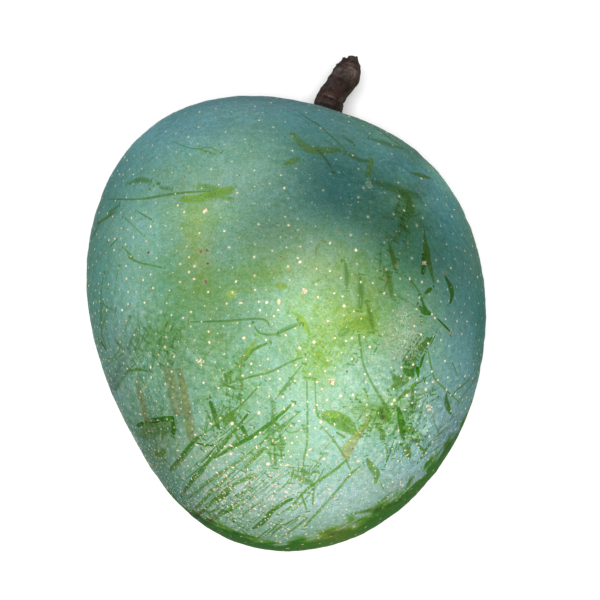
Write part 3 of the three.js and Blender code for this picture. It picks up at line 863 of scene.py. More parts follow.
def make_mesh(name, places, faces):
    """A smooth mesh object from places in metres and lists of corners."""
    mesh = bpy.data.meshes.new(name)
    mesh.from_pydata(places, [], faces)
    mesh.polygons.foreach_set("use_smooth", np.ones(len(mesh.polygons), bool))
    mesh.update()
    return add_object(name, mesh)


def put_vectors(piece, name, domain, vectors):
    layer = piece.data.attributes.new(name, "FLOAT_VECTOR", domain)
    layer.data.foreach_set("vector", np.asarray(vectors, np.float32).ravel())


# ---- The skin's soft colour fields.
def front_share(points, normals):
    """How squarely the skin faces the camera, and how much of it the photograph's marks cover."""
    facing = (normals * unit(CAMERA_PLACE - points)).sum(-1)
    return facing, smoothstep(*FRONT_FACING, facing)


def patch_share(x, y, middle, reach, lean):
    c, s = math.cos(math.radians(lean)), math.sin(math.radians(lean))
    dx, dy = x - middle[0], y - middle[1]
    return np.exp(-(((c * dx + s * dy) / reach[0]) ** 2) - ((c * dy - s * dx) / reach[1]) ** 2)


def patches_at(x, y, rows):
    """Soft patches together, each with its middle pixel, reach, lean and amount."""
    return sum(amount * patch_share(x, y, middle, reach, lean) for middle, reach, lean, amount in rows)


def heading_of(normals):
    """Which way the skin leans in the picture, right and up."""
    return unit(np.stack([normals @ PICTURE_RIGHT, normals @ PICTURE_UP], -1) + 1e-9)


def rim_share(points, normals, facing):
    """How much of the green band lies at points of the skin."""
    heading = heading_of(normals)
    inner = np.interp(heading[:, 0], *np.transpose(RIM_REACH))
    ragged = facing + bumps(points, RIM_RAGGED)
    return smoothstep(inner + RIM_SOFT[0], inner + RIM_SOFT[1], ragged) * smoothstep(*RIM_LOW, heading[:, 1])


def skin_fields(points, normals):
    """Lightness, warmth and bloom at points of the skin; the lightness holds painted light and shade."""
    facing, front = front_share(points, normals)
    x, y = pixels_of(points)
    rim = rim_share(points, normals, facing)
    towards = (heading_of(normals) * unit(np.array(EDGE_HEADING))).sum(-1)
    worn = smoothstep(*EDGE_FACING, facing + bumps(points, EDGE_RAGGED)) * smoothstep(*EDGE_SPAN, towards)
    layers = [(patch_share(x, y, middle, reach, lean), adds) for middle, reach, lean, adds in PATCHES]
    # The green band: less bloom, and painted shade of the underside.
    layers.append((rim, RIM_BARE_AND_PAINTED_SHADE))
    # Painted cool sheen and a little painted shade near the edge.
    layers.append((smoothstep(*LIMB_FACING, facing) * (1 - LIMB_OFF_RIM * rim), LIMB_PAINTED_SHEEN_AND_SHADE))
    # Painted rim light at the outermost edge.
    layers.append((smoothstep(*BRINK_FACING, facing), BRINK_PAINTED_LIGHT))
    layers.append((worn, EDGE_ADDS))
    seen = np.tile(SKIN_BASE, (len(points), 1))
    for share, adds in layers:
        seen += share[:, None] * np.array(adds)
    hidden = np.tile(HIDDEN_BASE, (len(points), 1))
    for size, heights in HIDDEN_SWINGS:
        for k, height in enumerate(heights):
            hidden[:, k] += height * rumple(points, size, int(size) + k)
    return seen * front[:, None] + hidden * (1 - front[:, None])


# ---- Marks on the skin.
class Marks:
    """Lays strokes on the skin's faces, in a few layers so that they can cross.

    Each face's corners hold how far along and across a stroke they are and half the stroke's width there.
    """

    def __init__(self, points, quads):
        self.corners = points[quads]
        self.centres = self.corners.mean(1)
        self.course = np.tile([0.0, 0.0, MARK_NONE], (MARK_LAYERS, len(quads), 4, 1))
        self.kind = np.zeros((MARK_LAYERS, len(quads), 3))
        self.free = np.ones((MARK_LAYERS, len(quads)), bool)
        self.start = 0.0

    def draw(self, path, halves, normals, kind):
        steps = np.diff(path, axis=0)
        lengths = np.linalg.norm(steps, axis=1)
        reached = lengths_along(path)
        sides = np.cross(normals[:-1], steps / lengths[:, None])
        reach = halves.max() + 2 * MARK_MARGIN
        box = (self.centres > path.min(0) - reach) & (self.centres < path.max(0) + reach)
        near = np.flatnonzero(box.all(1))
        out = self.corners[near][:, :, None, :] - path[:-1]
        share = (out * steps).sum(-1) / lengths**2
        lowest, highest = np.zeros(len(steps)), np.ones(len(steps))
        lowest[0], highest[-1] = -np.inf, np.inf
        share = np.clip(share, lowest, highest)
        away = np.linalg.norm(out - share[..., None] * steps, axis=-1)
        best = away.argmin(-1)[..., None]
        along = np.take_along_axis(reached[:-1] + share * lengths, best, -1)[..., 0]
        side = np.sign(np.take_along_axis((out * sides).sum(-1), best, -1)[..., 0])
        across = side * np.take_along_axis(away, best, -1)[..., 0]
        half = np.interp(along, reached, halves)
        half += MARK_TIP * (np.minimum(along, 0) - np.maximum(along - reached[-1], 0))
        hit = np.flatnonzero((np.abs(across) - half).min(1) < MARK_MARGIN)
        near = near[hit]
        room = self.free[:, near].sum(1)
        whole = room == len(near)
        layer = int(np.argmax(whole if whole.any() else room))
        taken = self.free[layer, near]
        near, hit = near[taken], hit[taken]
        self.course[layer, near] = np.stack([along[hit] + self.start, across[hit], half[hit]], -1)
        self.kind[layer, near] = kind
        self.free[layer, near] = False
        self.start += reached[-1] + MARK_GAP


def draw_seen_marks(marks, tree, face_normals, random):
    """The photograph's marks, cast on to the skin."""
    for kind, *stops in MARKS + sheaf_marks(random):
        stops = np.array(stops, float)
        count = max(3, int(lengths_along(stops[:, :2])[-1] / STROKE_STEP))
        line = course(stops, np.linspace(0, 1, count))
        hits = [(*cast(tree, x, y), width) for x, y, width in line]
        hits = [hit for hit in hits if hit[0] is not None]
        if len(hits) < 2:
            continue
        path, faces, widths = zip(*hits)
        halves = np.array(widths) * MM_PER_PIXEL / 2
        marks.draw(np.array(path), halves, face_normals[list(faces)], KINDS[kind])


def sheaf_marks(random):
    """The strokes of the sheaves, in the same form as the single marks."""
    strokes = []
    for kind, middle, reach, lean, count, length, width in SHEAVES:
        c, s = math.cos(math.radians(lean)), math.sin(math.radians(lean))
        for _ in range(count):
            heading = math.radians(lean + random.normal() * SHEAF["turn"])
            out = np.clip(random.normal(size=2), -SHEAF["far"], SHEAF["far"])
            along, across = out * reach * SHEAF["spread"]
            x, y = middle[0] + c * along + s * across, middle[1] - s * along + c * across
            half, bend = length * random.uniform(*SHEAF["half"]), random.normal() * SHEAF["bend"]
            wide = width * random.uniform(*SHEAF["width"])
            right, down = math.cos(heading), math.sin(heading)
            stops = [
                (
                    x + half * (step * right + bend * step * step * down),
                    y - half * (step * down - bend * step * step * right),
                    wide * (1 - SHEAF["taper"] * abs(step)),
                )
                for step in (-1.0, 0.0, 1.0)
            ]
            strokes.append((kind, *stops))
    return strokes


def draw_hidden_marks(marks, random):
    """Marks of the same kinds, strewn over the sides that the photograph doesn't show."""
    drawn, stroke = 0, HIDDEN_STROKE
    while drawn < HIDDEN_MARKS:
        place = unit(random.normal(size=3))
        heading = unit(np.cross(place, random.normal(size=3)))
        kind, wide = HIDDEN_KINDS[random.integers(len(HIDDEN_KINDS))]
        length, bend = random.uniform(*stroke["length"]), random.normal() * stroke["bend"]
        path = []
        for _ in range(stroke["points"]):
            path.append(place)
            place = unit(place + heading * length / stroke["points"] / stroke["radius"])
            heading = unit(heading + np.cross(place, heading) * bend)
            heading = unit(heading - place * (heading @ place))
        points, normals = skin_points(np.array(path)), skin_normals(np.array(path))
        if front_share(points, normals)[1].max() > HIDDEN_FRONT:
            continue
        shape = np.sin(np.linspace(*stroke["ends"], stroke["points"]))
        marks.draw(points, wide * random.uniform(*stroke["width"]) * shape, normals, KINDS[kind])
        drawn += 1


# ---- Lenticels.
def gap_at(points, normals):
    """The usual gap between lenticels at points of the skin, in mm."""
    low, high = [smoothstep(*place, points[:, 1]) for place in GAP_PLACES]
    gap = PORE_GAPS[0] + (PORE_GAPS[1] - PORE_GAPS[0]) * low + (PORE_GAPS[2] - PORE_GAPS[1]) * high
    gap *= 1 - patches_at(*pixels_of(points), PORE_CROWDS)
    gap *= 1 + RIM_GAP * rim_share(points, normals, front_share(points, normals)[0])
    return gap * np.exp(bumps(points, GAP_SWING) + (1 - low) * bumps(points, APEX_SWING))


def spread_pores(placed, random):
    """Points strewn over the skin with gaps that grow from the apex to the stem."""
    directions = unit(random.normal(size=(PORE_TRIES, 3)))
    points = skin_points(directions)
    gaps = gap_at(points, skin_normals(directions))
    clear = (stalk_distance(points) > STALK_CLEAR) | (points[:, 1] < 0)
    table = {}

    def note(point):
        table.setdefault(tuple(np.floor(point / PORE_CELL).astype(int)), []).append(point)

    for point in placed:
        note(point)
    kept = []
    for point, gap in zip(points[clear], gaps[clear]):
        if len(kept) == PORE_LIMIT:
            break
        a, b, c = np.floor(point / PORE_CELL).astype(int)
        reach = int(math.ceil(gap / PORE_CELL))
        span = range(-reach, reach + 1)
        near = [p for i in span for j in span for k in span for p in table.get((a + i, b + j, c + k), ())]
        if near and (np.square(np.array(near) - point).sum(1) < gap * gap).any():
            continue
        kept.append(point)
        note(point)
    return np.array(kept)


def gather_pores(tree, random):
    """Every lenticel's middle, and its half length, half width and tone."""
    placed, looks = [], []
    for stops, size, tone in PLACED_PORES:
        for x, y in stops:
            placed.append(np.array(cast(tree, x, y)[0]))
            wide = size * random.uniform(*PLACED_LOOK["width"])
            long = wide * random.uniform(*PLACED_LOOK["length"])
            looks.append((long, wide, tone + random.uniform(*PLACED_LOOK["tone"])))
    for x, y, reach in SCABS:
        for _ in range(SCAB_CRUMBS):
            turn, out = random.uniform(0, FULL_TURN), reach * math.sqrt(random.uniform())
            placed.append(np.array(cast(tree, x + out * math.cos(turn), y + out * math.sin(turn))[0]))
            looks.append([random.uniform(*span) for span in SCAB_LOOK])
    strewn = spread_pores(placed, random)
    strewn = strewn[lay(strewn)[:, 2] > REST_CLEARANCE]
    low = smoothstep(*PORE_LOW, strewn[:, 1])
    count = len(strewn)
    look = STREWN_LOOK
    wide = look["least"] + look["more"] * random.uniform(size=count) ** look["rarity"]
    wide *= 1 - look["low_less"] * low
    rod = random.uniform(size=count) < look["rods"] + look["low_rods"] * low
    stretched = random.uniform(look["rod"][0], look["rod"][1] + look["low_rod"] * low, count)
    long = wide * np.where(rod, stretched, random.uniform(*look["dot"], count))
    tone = random.uniform(*look["tone"], count) + look["low_tone"] * low * random.uniform(size=count)
    tone = np.where(random.uniform(size=count) < look["dark_share"], look["dark"], tone)
    middles = np.concatenate([placed, strewn])
    return middles, np.concatenate([looks, np.stack([long, wide, tone], -1)])


def make_pores(tree, face_normals, middles, looks, random):
    """Low irregular domes, one to a lenticel, sunk a little into the skin."""
    hits = [tree.find_nearest(Vector(middle)) for middle in middles]
    middles = np.array([hit[0] for hit in hits])
    normals = face_normals[[hit[2] for hit in hits]]
    count = len(middles)
    along = unit(np.cross(normals, random.normal(size=(count, 3))))
    across = np.cross(normals, along)
    k = np.arange(PORE_SIDES)
    n = (k + 1) % PORE_SIDES
    turn = k * FULL_TURN / PORE_SIDES
    parts = []
    for share, rise, _ in PORE_RINGS:
        ragged = share * (1 + PORE_RAGGED * random.normal(size=(count, PORE_SIDES)))
        x = looks[:, :1] * ragged * np.cos(turn)
        slack = (looks[:, :1] - looks[:, 1:2]) * PORE_BEND
        bend = slack * random.normal(size=(count, 1)) * np.cos(turn) ** 2
        y = looks[:, 1:2] * ragged * np.sin(turn) + bend * share
        ring = middles[:, None] + x[..., None] * along[:, None] + y[..., None] * across[:, None]
        parts.append(ring + rise * normals[:, None])
    parts += [(middles + rise * normals)[:, None] for rise in (PORE_TOP, PORE_ROOT)]
    points = np.concatenate(parts, 1)
    each = points.shape[1]
    triangles = [
        (k, n, PORE_SIDES + n),
        (k, PORE_SIDES + n, PORE_SIDES + k),
        (PORE_SIDES + k, PORE_SIDES + n, np.full_like(k, each - 2)),
        (n, k, np.full_like(k, each - 1)),
    ]
    faces = np.concatenate([np.stack(corners, 1) for corners in triangles])
    faces = (faces + each * np.arange(count)[:, None, None]).reshape(-1, 3)
    piece = make_mesh("mango_lenticels", lay(points.reshape(-1, 3)), faces.tolist())
    heights = [height for _, _, height in PORE_RINGS for _ in range(PORE_SIDES)] + [1.0, 0.0]
    chance = random.uniform(size=count)
    look = [np.repeat(looks[:, 2], each), np.tile(heights, count), np.repeat(chance, each)]
    put_vectors(piece, "look", "POINT", np.stack(look, -1))
    put_vectors(piece, "field", "POINT", np.repeat(skin_fields(middles, normals), each, 0))
    return piece, middles


# ---- The fruit.
def hidden_patches(points, look):
    """Patches on the sides that the photograph doesn't show."""
    return look["most"] * smoothstep(*look["starts"], rumple(points, look["size"], look["seed"]))


def make_fruit(random):
    directions, quads = cube_grid(FRUIT_CELLS)
    normals = skin_normals(directions)
    points = skin_points(directions)
    collar = np.exp(-((stalk_distance(points) / COLLAR["radius"]) ** COLLAR["edge"]))
    collar = np.where(points[:, 1] > 0, collar, 0)
    relief = bumps(points, SKIN_RELIEF) - COLLAR["sunk"] * collar
    points = points + normals * relief[:, None]
    places = lay(points)
    places[:, 2] = np.maximum(places[:, 2], 0)
    fruit = make_mesh("mango_skin", places, quads.tolist())
    tree = BVHTree.FromPolygons(points.tolist(), quads.tolist())
    face_normals = unit(normals[quads].mean(1))

    marks = Marks(points, quads)
    draw_seen_marks(marks, tree, face_normals, random)
    draw_hidden_marks(marks, random)
    for k in range(MARK_LAYERS):
        put_vectors(fruit, f"mark_{k}", "CORNER", marks.course[k])
        put_vectors(fruit, f"kind_{k}", "FACE", marks.kind[k])

    middles, looks = gather_pores(tree, random)
    pores, middles = make_pores(tree, face_normals, middles, looks, random)
    near = KDTree(len(middles))
    for k, middle in enumerate(middles):
        near.insert(Vector(middle), k)
    near.balance()
    owner = [near.find(Vector(centre))[1] for centre in marks.centres]
    put_vectors(fruit, "pore", "FACE", lay(middles[owner]) / MILLI)
    put_vectors(fruit, "pore_size", "FACE", looks[owner])

    put_vectors(fruit, "field", "POINT", skin_fields(points, normals))
    x, y = pixels_of(points)
    facing, front = front_share(points, normals)
    scurf = front * patches_at(x, y, SCURF) + (1 - front) * hidden_patches(points, HIDDEN_SCURF)
    fleck = smoothstep(*FLECK_FADES, points[:, 1] + bumps(points, FLECK_RAGGED))
    fleck *= FLECK_LEAST + front * patches_at(x, y, FLECKED)
    fleck *= 1 - RIM_CLEAN * rim_share(points, normals, facing)
    put_vectors(fruit, "spots", "POINT", np.stack([scurf, fleck, collar], -1))
    rub = front * patches_at(x, y, RUBBED) + (1 - front) * hidden_patches(points, HIDDEN_RUB)
    put_vectors(fruit, "rub", "POINT", np.stack([rub, rub, rub], -1))
    return fruit, pores


# ---- The stalk.
def stalk_rings():
    """The stub's rings from a little below the skin to its broken end, and the frame at that end."""
    axis = course(STALK_AXIS, np.linspace(0, 1, STALK_STEPS))
    reached = lengths_along(axis)
    total = reached[-1]
    along = np.linspace(STALK_FOOT, 1, STALK_RINGS)
    centre = np.stack([np.interp(along * total, reached, axis[:, k]) for k in range(3)], -1)
    forward = unit(np.gradient(centre, axis=0))
    top = unit(np.cross([1.0, 0.0, 0.0], forward))
    side = np.cross(forward, top)
    s, t = along[:, None], STALK_TURNS[None, :]

    bark = smoothstep(*BARK_STARTS, s)
    fold = FOLDS["height"] * np.sin(FULL_TURN * FOLDS["count"] * s + FOLDS["wander"] * np.sin(t))
    beside = (1 - np.cos(t - KNOB["turn"])) / KNOB["width"]
    knob = KNOB["height"] * np.exp(-(((s - KNOB["along"]) / KNOB["length"]) ** 2) - beside**2)
    ridges = sum(r["height"] * np.sin(r["sides"] * t + r["twist"] * s) for r in RIDGES)
    radius = course(STALK_RADII, along)[:, None] + bark * (fold + knob + ridges)
    ways = side[:, None] * np.cos(t)[..., None] + top[:, None] * np.sin(t)[..., None]
    points = centre[:, None] + ways * radius[..., None]

    def wood(look):
        """The bark's noise space, drawn out along or round the stalk, with its coarse and fine bumps."""
        around, far = look["around"], s * total * look["along"]
        space = np.stack(np.broadcast_arrays(np.cos(t) * around, np.sin(t) * around, far), -1)
        return rumple(space, look["size"], look["seed"]), bumps(space, look["fine"])

    # Long fissures, rings that crease where the stalk grew, and fine grit.
    fissure, fissure_fine = wood(FISSURES)
    crease, crease_fine = wood(CREASES)
    detail = fissure_fine - np.abs(fissure) * FISSURES["depth"]
    detail = detail + (crease_fine - smoothstep(*CREASE_STARTS, crease) * CREASES["depth"])
    detail = bark * (detail + bumps(points, BARK_GRIT) + stalk_scars(s, t, total))
    end = smoothstep(*BREAK_STARTS, s)
    teeth = sum(b["height"] * np.sin(b["sides"] * t) for b in BREAK_TEETH) + bumps(ways, BREAK_GRIT)
    points = points + ways * detail[..., None] + forward[:, None] * (end * teeth)[..., None]
    return points, centre[-1], forward[-1], side[-1], top[-1]


def stalk_scars(s, t, total):
    """The round leaf scar on the knob, the lip below the broken tip and the crease near the base."""
    out = np.zeros(np.broadcast(s, t).shape)
    for scar in STALK_SCARS:
        away, wide = turned_from(scar["turn"], t), scar["width"]
        if "radius" in scar:
            apart = np.hypot((s - scar["along"]) * total, away * SCAR_RADIUS) - scar["radius"]
            reach = 1.0
        else:
            apart = (s - scar["along"] - scar["lean"] * np.sin(away)) * total
            reach = smoothstep(scar["span"], scar["span"] * SCAR_FADE, np.abs(away))
        groove = SCAR_GROOVE["depth"] * np.exp(-(((apart + SCAR_GROOVE["out"] * wide) / wide) ** 2))
        out += scar["height"] * (np.exp(-((apart / wide) ** 2)) - groove) * reach
    return out


def make_stalk():
    """The stub closed by its broken face, whose rings shrink to its middle, and by a hidden foot."""
    grid, centre, forward, side, top = stalk_rings()
    caps = []
    for share in BREAK_RINGS:
        ring = centre + (grid[-1] - centre) * share
        off = ((ring - centre) @ side - BREAK_HOLLOW["side"]) ** 2
        off = off + ((ring - centre) @ top - BREAK_HOLLOW["top"]) ** 2
        hollow = BREAK_HOLLOW["depth"] * np.exp(-off / BREAK_HOLLOW["spread"])
        rough = bumps(ring, BREAK_FACE_GRIT) - hollow + BREAK_DOME * (1 - share)
        caps.append(ring + forward * rough[:, None])
    rings = np.concatenate([grid, np.array(caps)])
    count = len(rings)
    k = np.arange(STALK_AROUND)
    n = (k + 1) % STALK_AROUND
    quads = np.stack([k, n, STALK_AROUND + n, STALK_AROUND + k], 1)
    quads = (quads + STALK_AROUND * np.arange(count - 1)[:, None, None]).reshape(-1, 4)
    last, tip = (count - 1) * STALK_AROUND, count * STALK_AROUND
    fans = [np.stack([last + k, last + n, 0 * k + tip], 1), np.stack([n, k, 0 * k + tip + 1], 1)]
    ends = [centre + forward * BREAK_MIDDLE, grid[0].mean(0)]
    places = lay(np.concatenate([rings.reshape(-1, 3), ends]))
    piece = make_mesh("mango_stalk_bark", places, quads.tolist() + np.concatenate(fans).tolist())

    ring = np.repeat(np.arange(count), STALK_AROUND)
    along = STALK_FOOT + (1 - STALK_FOOT) * np.minimum(ring / (STALK_RINGS - 1), 1)
    broken = smoothstep(STALK_RINGS + BREAK_SHOWS[0], STALK_RINGS + BREAK_SHOWS[1], ring)
    turn = np.tile(STALK_TURNS, count)
    held, tint = np.zeros(len(turn)), np.zeros((len(turn), 3))
    for place, heading, long, wide, hue in STALK_TINTS:
        away = turned_from(heading, turn)
        share = np.exp(-(((along - place) / long) ** 2) - (away / wide) ** 2) * (1 - broken)
        held, tint = held + share, tint + share[:, None] * np.array(hue)
    tint /= np.maximum(held, 1e-6)[:, None]
    held = TINT_SHARE * np.minimum(held, 1)
    bark, none = np.stack([along, broken, np.cos(turn)], -1), np.zeros((2, 3))
    put_vectors(piece, "bark", "POINT", np.concatenate([bark, [[1, 1, 0], [0, 0, 0]]]))
    put_vectors(piece, "tint", "POINT", np.concatenate([tint, none]))
    put_vectors(piece, "tint_held", "POINT", np.concatenate([np.stack([held] * 3, -1), none]))
    return piece


# ---- Node graphs in a few words.
class Graph:
    """Builds one material's nodes. Values are sockets or plain numbers."""

    def __init__(self, name):
        self.material = bpy.data.materials.new(name)
        self.material.use_nodes = True
        self.tree = self.material.node_tree
        self.tree.nodes.clear()

    def add(self, kind, inputs=(), **settings):
        node = self.tree.nodes.new(kind)
        for key, value in settings.items():
            setattr(node, key, value)
        for key, value in dict(inputs).items():
            self.put(node.inputs[key], value)
        return node

    def put(self, socket, value):
        if isinstance(value, bpy.types.NodeSocket):
            self.tree.links.new(value, socket)
        elif isinstance(value, (tuple, list)) and len(value) == 3 and socket.type == "RGBA":
            socket.default_value = (*value, 1)
        else:
            socket.default_value = value

    def math(self, operation, *values):
        return self.add("ShaderNodeMath", enumerate(values), operation=operation).outputs[0]

    def chain(self, operation, values):
        result, *others = values
        for value in others:
            result = self.math(operation, result, value)
        return result

    def total(self, *values):
        return self.chain("ADD", values)

    def product(self, *values):
        return self.chain("MULTIPLY", values)

    def minus(self, first, second):
        return self.math("SUBTRACT", first, second)

    def line(self, value, slope, start):
        return self.math("MULTIPLY_ADD", value, slope, start)

    def exp(self, value):
        return self.math("EXPONENT", value)

    def swing(self, value, height):
        """A noise's swing about its middle, scaled to a height."""
        return self.product(self.minus(value, 0.5), height)

    def swings(self, noises, heights):
        """The swings of several noises, by their names."""
        return [self.swing(noises[name], height) for name, height in heights.items()]

    def scaled(self, vector, factor):
        node = self.add("ShaderNodeVectorMath", {0: vector, "Scale": factor}, operation="SCALE")
        return node.outputs[0]

    def distance(self, first, second):
        node = self.add("ShaderNodeVectorMath", {0: first, 1: second}, operation="DISTANCE")
        return node.outputs["Value"]

    def shifted(self, vector, field, size):
        """A vector pushed about by a noise's colour."""
        noise = self.add("ShaderNodeTexNoise", {"Vector": vector, "Scale": field})
        push = self.scaled(noise.outputs["Color"], size)
        return self.add("ShaderNodeVectorMath", {0: vector, 1: push}, operation="ADD").outputs[0]

    def place(self):
        return self.add("ShaderNodeTexCoord").outputs["Object"]

    def attribute(self, name):
        return self.add("ShaderNodeAttribute", attribute_name=name).outputs["Vector"]

    def split(self, name):
        """An attribute's three numbers."""
        return self.add("ShaderNodeSeparateXYZ", {0: self.attribute(name)}).outputs

    def join(self, x, y, z, kind="XYZ"):
        return self.add("ShaderNodeCombine" + kind, {0: x, 1: y, 2: z}).outputs[0]

    def grey(self, level):
        return self.join(level, level, level, "Color")

    def noise(self, vector, scale, detail=2.0, roughness=0.5, distortion=0.0):
        inputs = dict(Vector=vector, Scale=scale, Detail=detail, Roughness=roughness, Distortion=distortion)
        return self.add("ShaderNodeTexNoise", inputs).outputs["Fac"]

    def cells(self, vector, scale, feature="F1"):
        inputs = {"Vector": vector, "Scale": scale}
        return self.add("ShaderNodeTexVoronoi", inputs, feature=feature).outputs["Distance"]

    def step(self, low, high, value, start=0.0, end=1.0):
        """start at low and below, end at high and above, and smooth between; low may be the greater."""
        linked = any(isinstance(limit, bpy.types.NodeSocket) for limit in (low, high))
        if not linked and low > high:
            low, high, start, end = high, low, end, start
        inputs = {"Value": value, "From Min": low, "From Max": high, "To Min": start, "To Max": end}
        return self.add("ShaderNodeMapRange", inputs, interpolation_type="SMOOTHSTEP").outputs["Result"]

    def mix(self, share, first, second, blend="MIX"):
        node = self.add("ShaderNodeMix", data_type="RGBA", blend_type=blend)
        for key, value in ((0, share), (6, first), (7, second)):
            self.put(node.inputs[key], value)
        return node.outputs[2]

    def ramp(self, value, stops):
        """A colour from stops of place and colour."""
        node = self.add("ShaderNodeValToRGB", {0: value})
        elements = node.color_ramp.elements
        while len(elements) < len(stops):
            elements.new(0.5)
        for element, (place, colour) in zip(elements, stops):
            element.position = place
            element.color = (*colour, 1)
        return node.outputs[0]

    def finish(self, colour, roughness, height=None, specular=None):
        """The shader, with relief of a height in mm."""
        shader = self.add("ShaderNodeBsdfPrincipled", {"Base Color": colour, "Roughness": roughness})
        if height is not None:
            relief = {"Height": height, "Distance": MILLI, "Strength": RELIEF_STRENGTH}
            self.put(shader.inputs["Normal"], self.add("ShaderNodeBump", relief).outputs[0])
        if specular is not None:
            self.put(shader.inputs["Specular IOR Level"], specular)
        output = self.add("ShaderNodeOutputMaterial")
        self.tree.links.new(shader.outputs[0], output.inputs[0])
        return self.material


# ---- Materials. Noises have their scale per mm, detail, roughness and distortion.
RELIEF_STRENGTH = 0.7
FINE, CLOUD, PATCHY = (2.2, 3.0, 0.8), (0.3, 3.0, 0.6), (0.75, 4.0, 0.6)
FIBRES, BLOTCH = (1.2, 4.0, 0.75, 1.6), (0.42, 5.0, 0.7, 0.8)
SKIN_GREEN = 0.2  # of skin whose lightness is 0
SKIN_RUDDY = (0.19, 0.47)  # its red as a share of its green: for each unit of warmth, and without any
BLOOM_BLUE = (0.09, 1.07)  # its blue as a share of its green, bare and under thick bloom
WORN_RED, WORN_MARK = 0.6, 1.3  # how much more wear tells on the red and in the marks
# How far each noise sways the skin's lightness, where it is sound and where it is rubbed, its bloom, its
# warmth, a mark's edge and a mark's tone.
WEAR, RUB_WEAR = dict(cloud=0.2, patchy=0.5, fibres=0.85, fine=0.95), dict(blotch=1.5, patchy=0.9)
BLOOM_SWAY, WARMTH_SWAY = dict(cloud=0.3, patchy=0.12), dict(cloud=-0.5, blotch=1.1)
EDGE_SWAY, TONE_SWAY = dict(patchy=1.4, fibres=1.6, fine=1.0), dict(fibres=0.5, streaks=0.4)
# Below, a pair is where a change starts and ends, and a second pair what it changes between. A push is the
# scale and the size by which a noise shifts what it bends. Most is the most that shows.
THREADS = dict(push=(0.8, 1.2), scale=0.75, edge=(0.16, 0.02), bloom=0.15)  # where the bloom is thicker
WEAR_HOLD = ((0.35, 0.75), (0.38, 0.06))  # how much wear thins the bloom, from thin bloom to thick
BLOOM_SPAN = (-0.12, 1.12)
MARK_MOTTLE = dict(fine=0.6, patchy=0.4, edge=(0.38, 0.6), holds=(0.68, 1.0))
MARK_LOOSE = (0.4, 0.15)  # how far an edge frays: for each mm of half width, and at least
MARK_SHOWS = (0.9, 0.8)  # the edges of kinds that show less than this turn soft
MARK_SOFT = (0.1, 0.5)  # the share of the half width that an edge takes
MARK_DRAWN_IN, MARK_EDGE = 0.3, 0.07  # how far a soft edge is drawn in, and the least that an edge takes
STREAK_PACE, STREAK_NOISE = (0.12, 3.0), (1.0, 3.0, 0.6)  # along and across a mark, per mm
COMB, COMB_EDGE = (0.4, 0.1), 0.16  # which streaks a mark lacks, for each unit of streakiness and at least
SCURF_LOOPS, SCURF_WIDTH = dict(push=(1.2, 0.9), noise=(1.3, 2.0)), (0.05, 0.02)
SCURF_UNDER, SCURF_GAPS, SCURF_UNDER_MOST = (0.1, 0.5), (0.48, 0.6), 0.45
SCURF_THICK, SCURF_MORE, SCURF_OVER, SCURF_MOST = (0.4, 0.55), 0.3, (0.1, 0.7), 0.8
DOTS = dict(push=(2.0, 0.5), scale=1.5, edge=(0.24, 0.1), where=(0.9, 1.0), chosen=(0.5, 0.62), most=0.8)
CURLS = dict(noise=(1.5, 1.0), edge=(0.034, 0.016), push=(0.5, 2.0), where=(1.0, 1.0), chosen=(0.53, 0.57))
CURL_MOST = 0.85
HALO_EDGE, HALO_RAGGED, HALO_MOST = (0.35, 0.0), 0.5, 0.12
SPECKS = dict(push=(3.0, 0.3), scale=0.85, where=(0.6, 1.0), rub=0.05, crumb=(0.16, 0.06), dark=(0.18, 0.06))
CRUMBS_WHERE, CRUMBS_BLOOM = (0.52, 0.56), ((0.2, 0.8), (0.2, 0.5))
SPECKS_WHERE, SPECKS_MOST = (0.5, 0.46), 0.7
COLLAR_MOTTLE = ((0.3, 0.6), (0.75, 1.0))
SKIN_ROUGHNESS = (0.7, 0.62)  # under bloom, and in a mark
SKIN_FINE, SKIN_PATCHY, MARK_DEEP, SCURF_HIGH = 0.05, 0.05, -0.03, 0.05  # the relief's heights, in mm
SCURF_GROUND, SCURF_LACE = (0.15, 0.165, 0.065), (0.32, 0.41, 0.28)
CORK_DOT, CORK_CURL, PORE_HALO = (0.56, 0.46, 0.36), (0.62, 0.50, 0.40), (0.34, 0.42, 0.22)
BLOOM_CRUMB, DARK_SPECK = (0.42, 0.5, 0.4), (0.03, 0.06, 0.02)
COLLAR_TINT = (0.045, 0.04, 0.02)
SKIN_SPECULAR, PORE_SPECULAR, BARK_SPECULAR = 0.02, 0.25, 0.1
PORE_DUST, PORE_FEET = (0.26, 0.36, 0.27), ((0.22, 0.25, 0.12), (0.24, 0.14, 0.075))
BARK_TONES = [(0.3, (0.008, 0.004, 0.003)), (0.5, (0.026, 0.014, 0.011)), (0.7, (0.06, 0.038, 0.03))]
BARK_SHEEN, BARK_MOSS, BARK_BROKEN = (0.045, 0.048, 0.056), (0.034, 0.032, 0.008), (0.06, 0.036, 0.03)
PORE_GRAIN, PORE_SWING, PORE_HIGH, PORE_ROUGHNESS = (4.0, 2.0), 0.2, 0.04, 0.75
# The skin's lightness holds painted light and shade, which carry over to them.
PORE_LEVEL, PORE_LIGHTEST = 0.7, 1.15  # how the skin's lightness tells on them, and the most
PORE_DUSTED = dict(edge=(0.55, 1.25), bloom=0.55, light=-0.5, tone=(0.8, 0.6), most=0.75)
PORE_FOOT, PORE_CAP = (0.2, 0.5), (0.02, 0.58)  # by chance green or brown at the foot, and up to the cork
BARK_COARSE, BARK_FINE, SHEEN_PATCHES = (0.9, 4.0, 0.65), (4.0, 3.0, 0.6), (0.45, 2.0)
SHEEN_WHERE, SHEEN_GRAIN, SHEEN_MOST = (0.52, 0.66), (0.35, 0.6), 0.5
MOSS_SIDE, MOSS_GRAIN, MOSS_MOST = (0.55, 1.0), (0.4, 0.6), 0.7
BROKEN_GRAIN, TINT_COARSE, TINT_FINE = (0.4, 0.6), 2.4, 1.2
BARK_HIGH, BARK_FINE_HIGH, BARK_ROUGHNESS = 0.3, 0.12, ((0.3, 0.7), (0.65, 0.85))
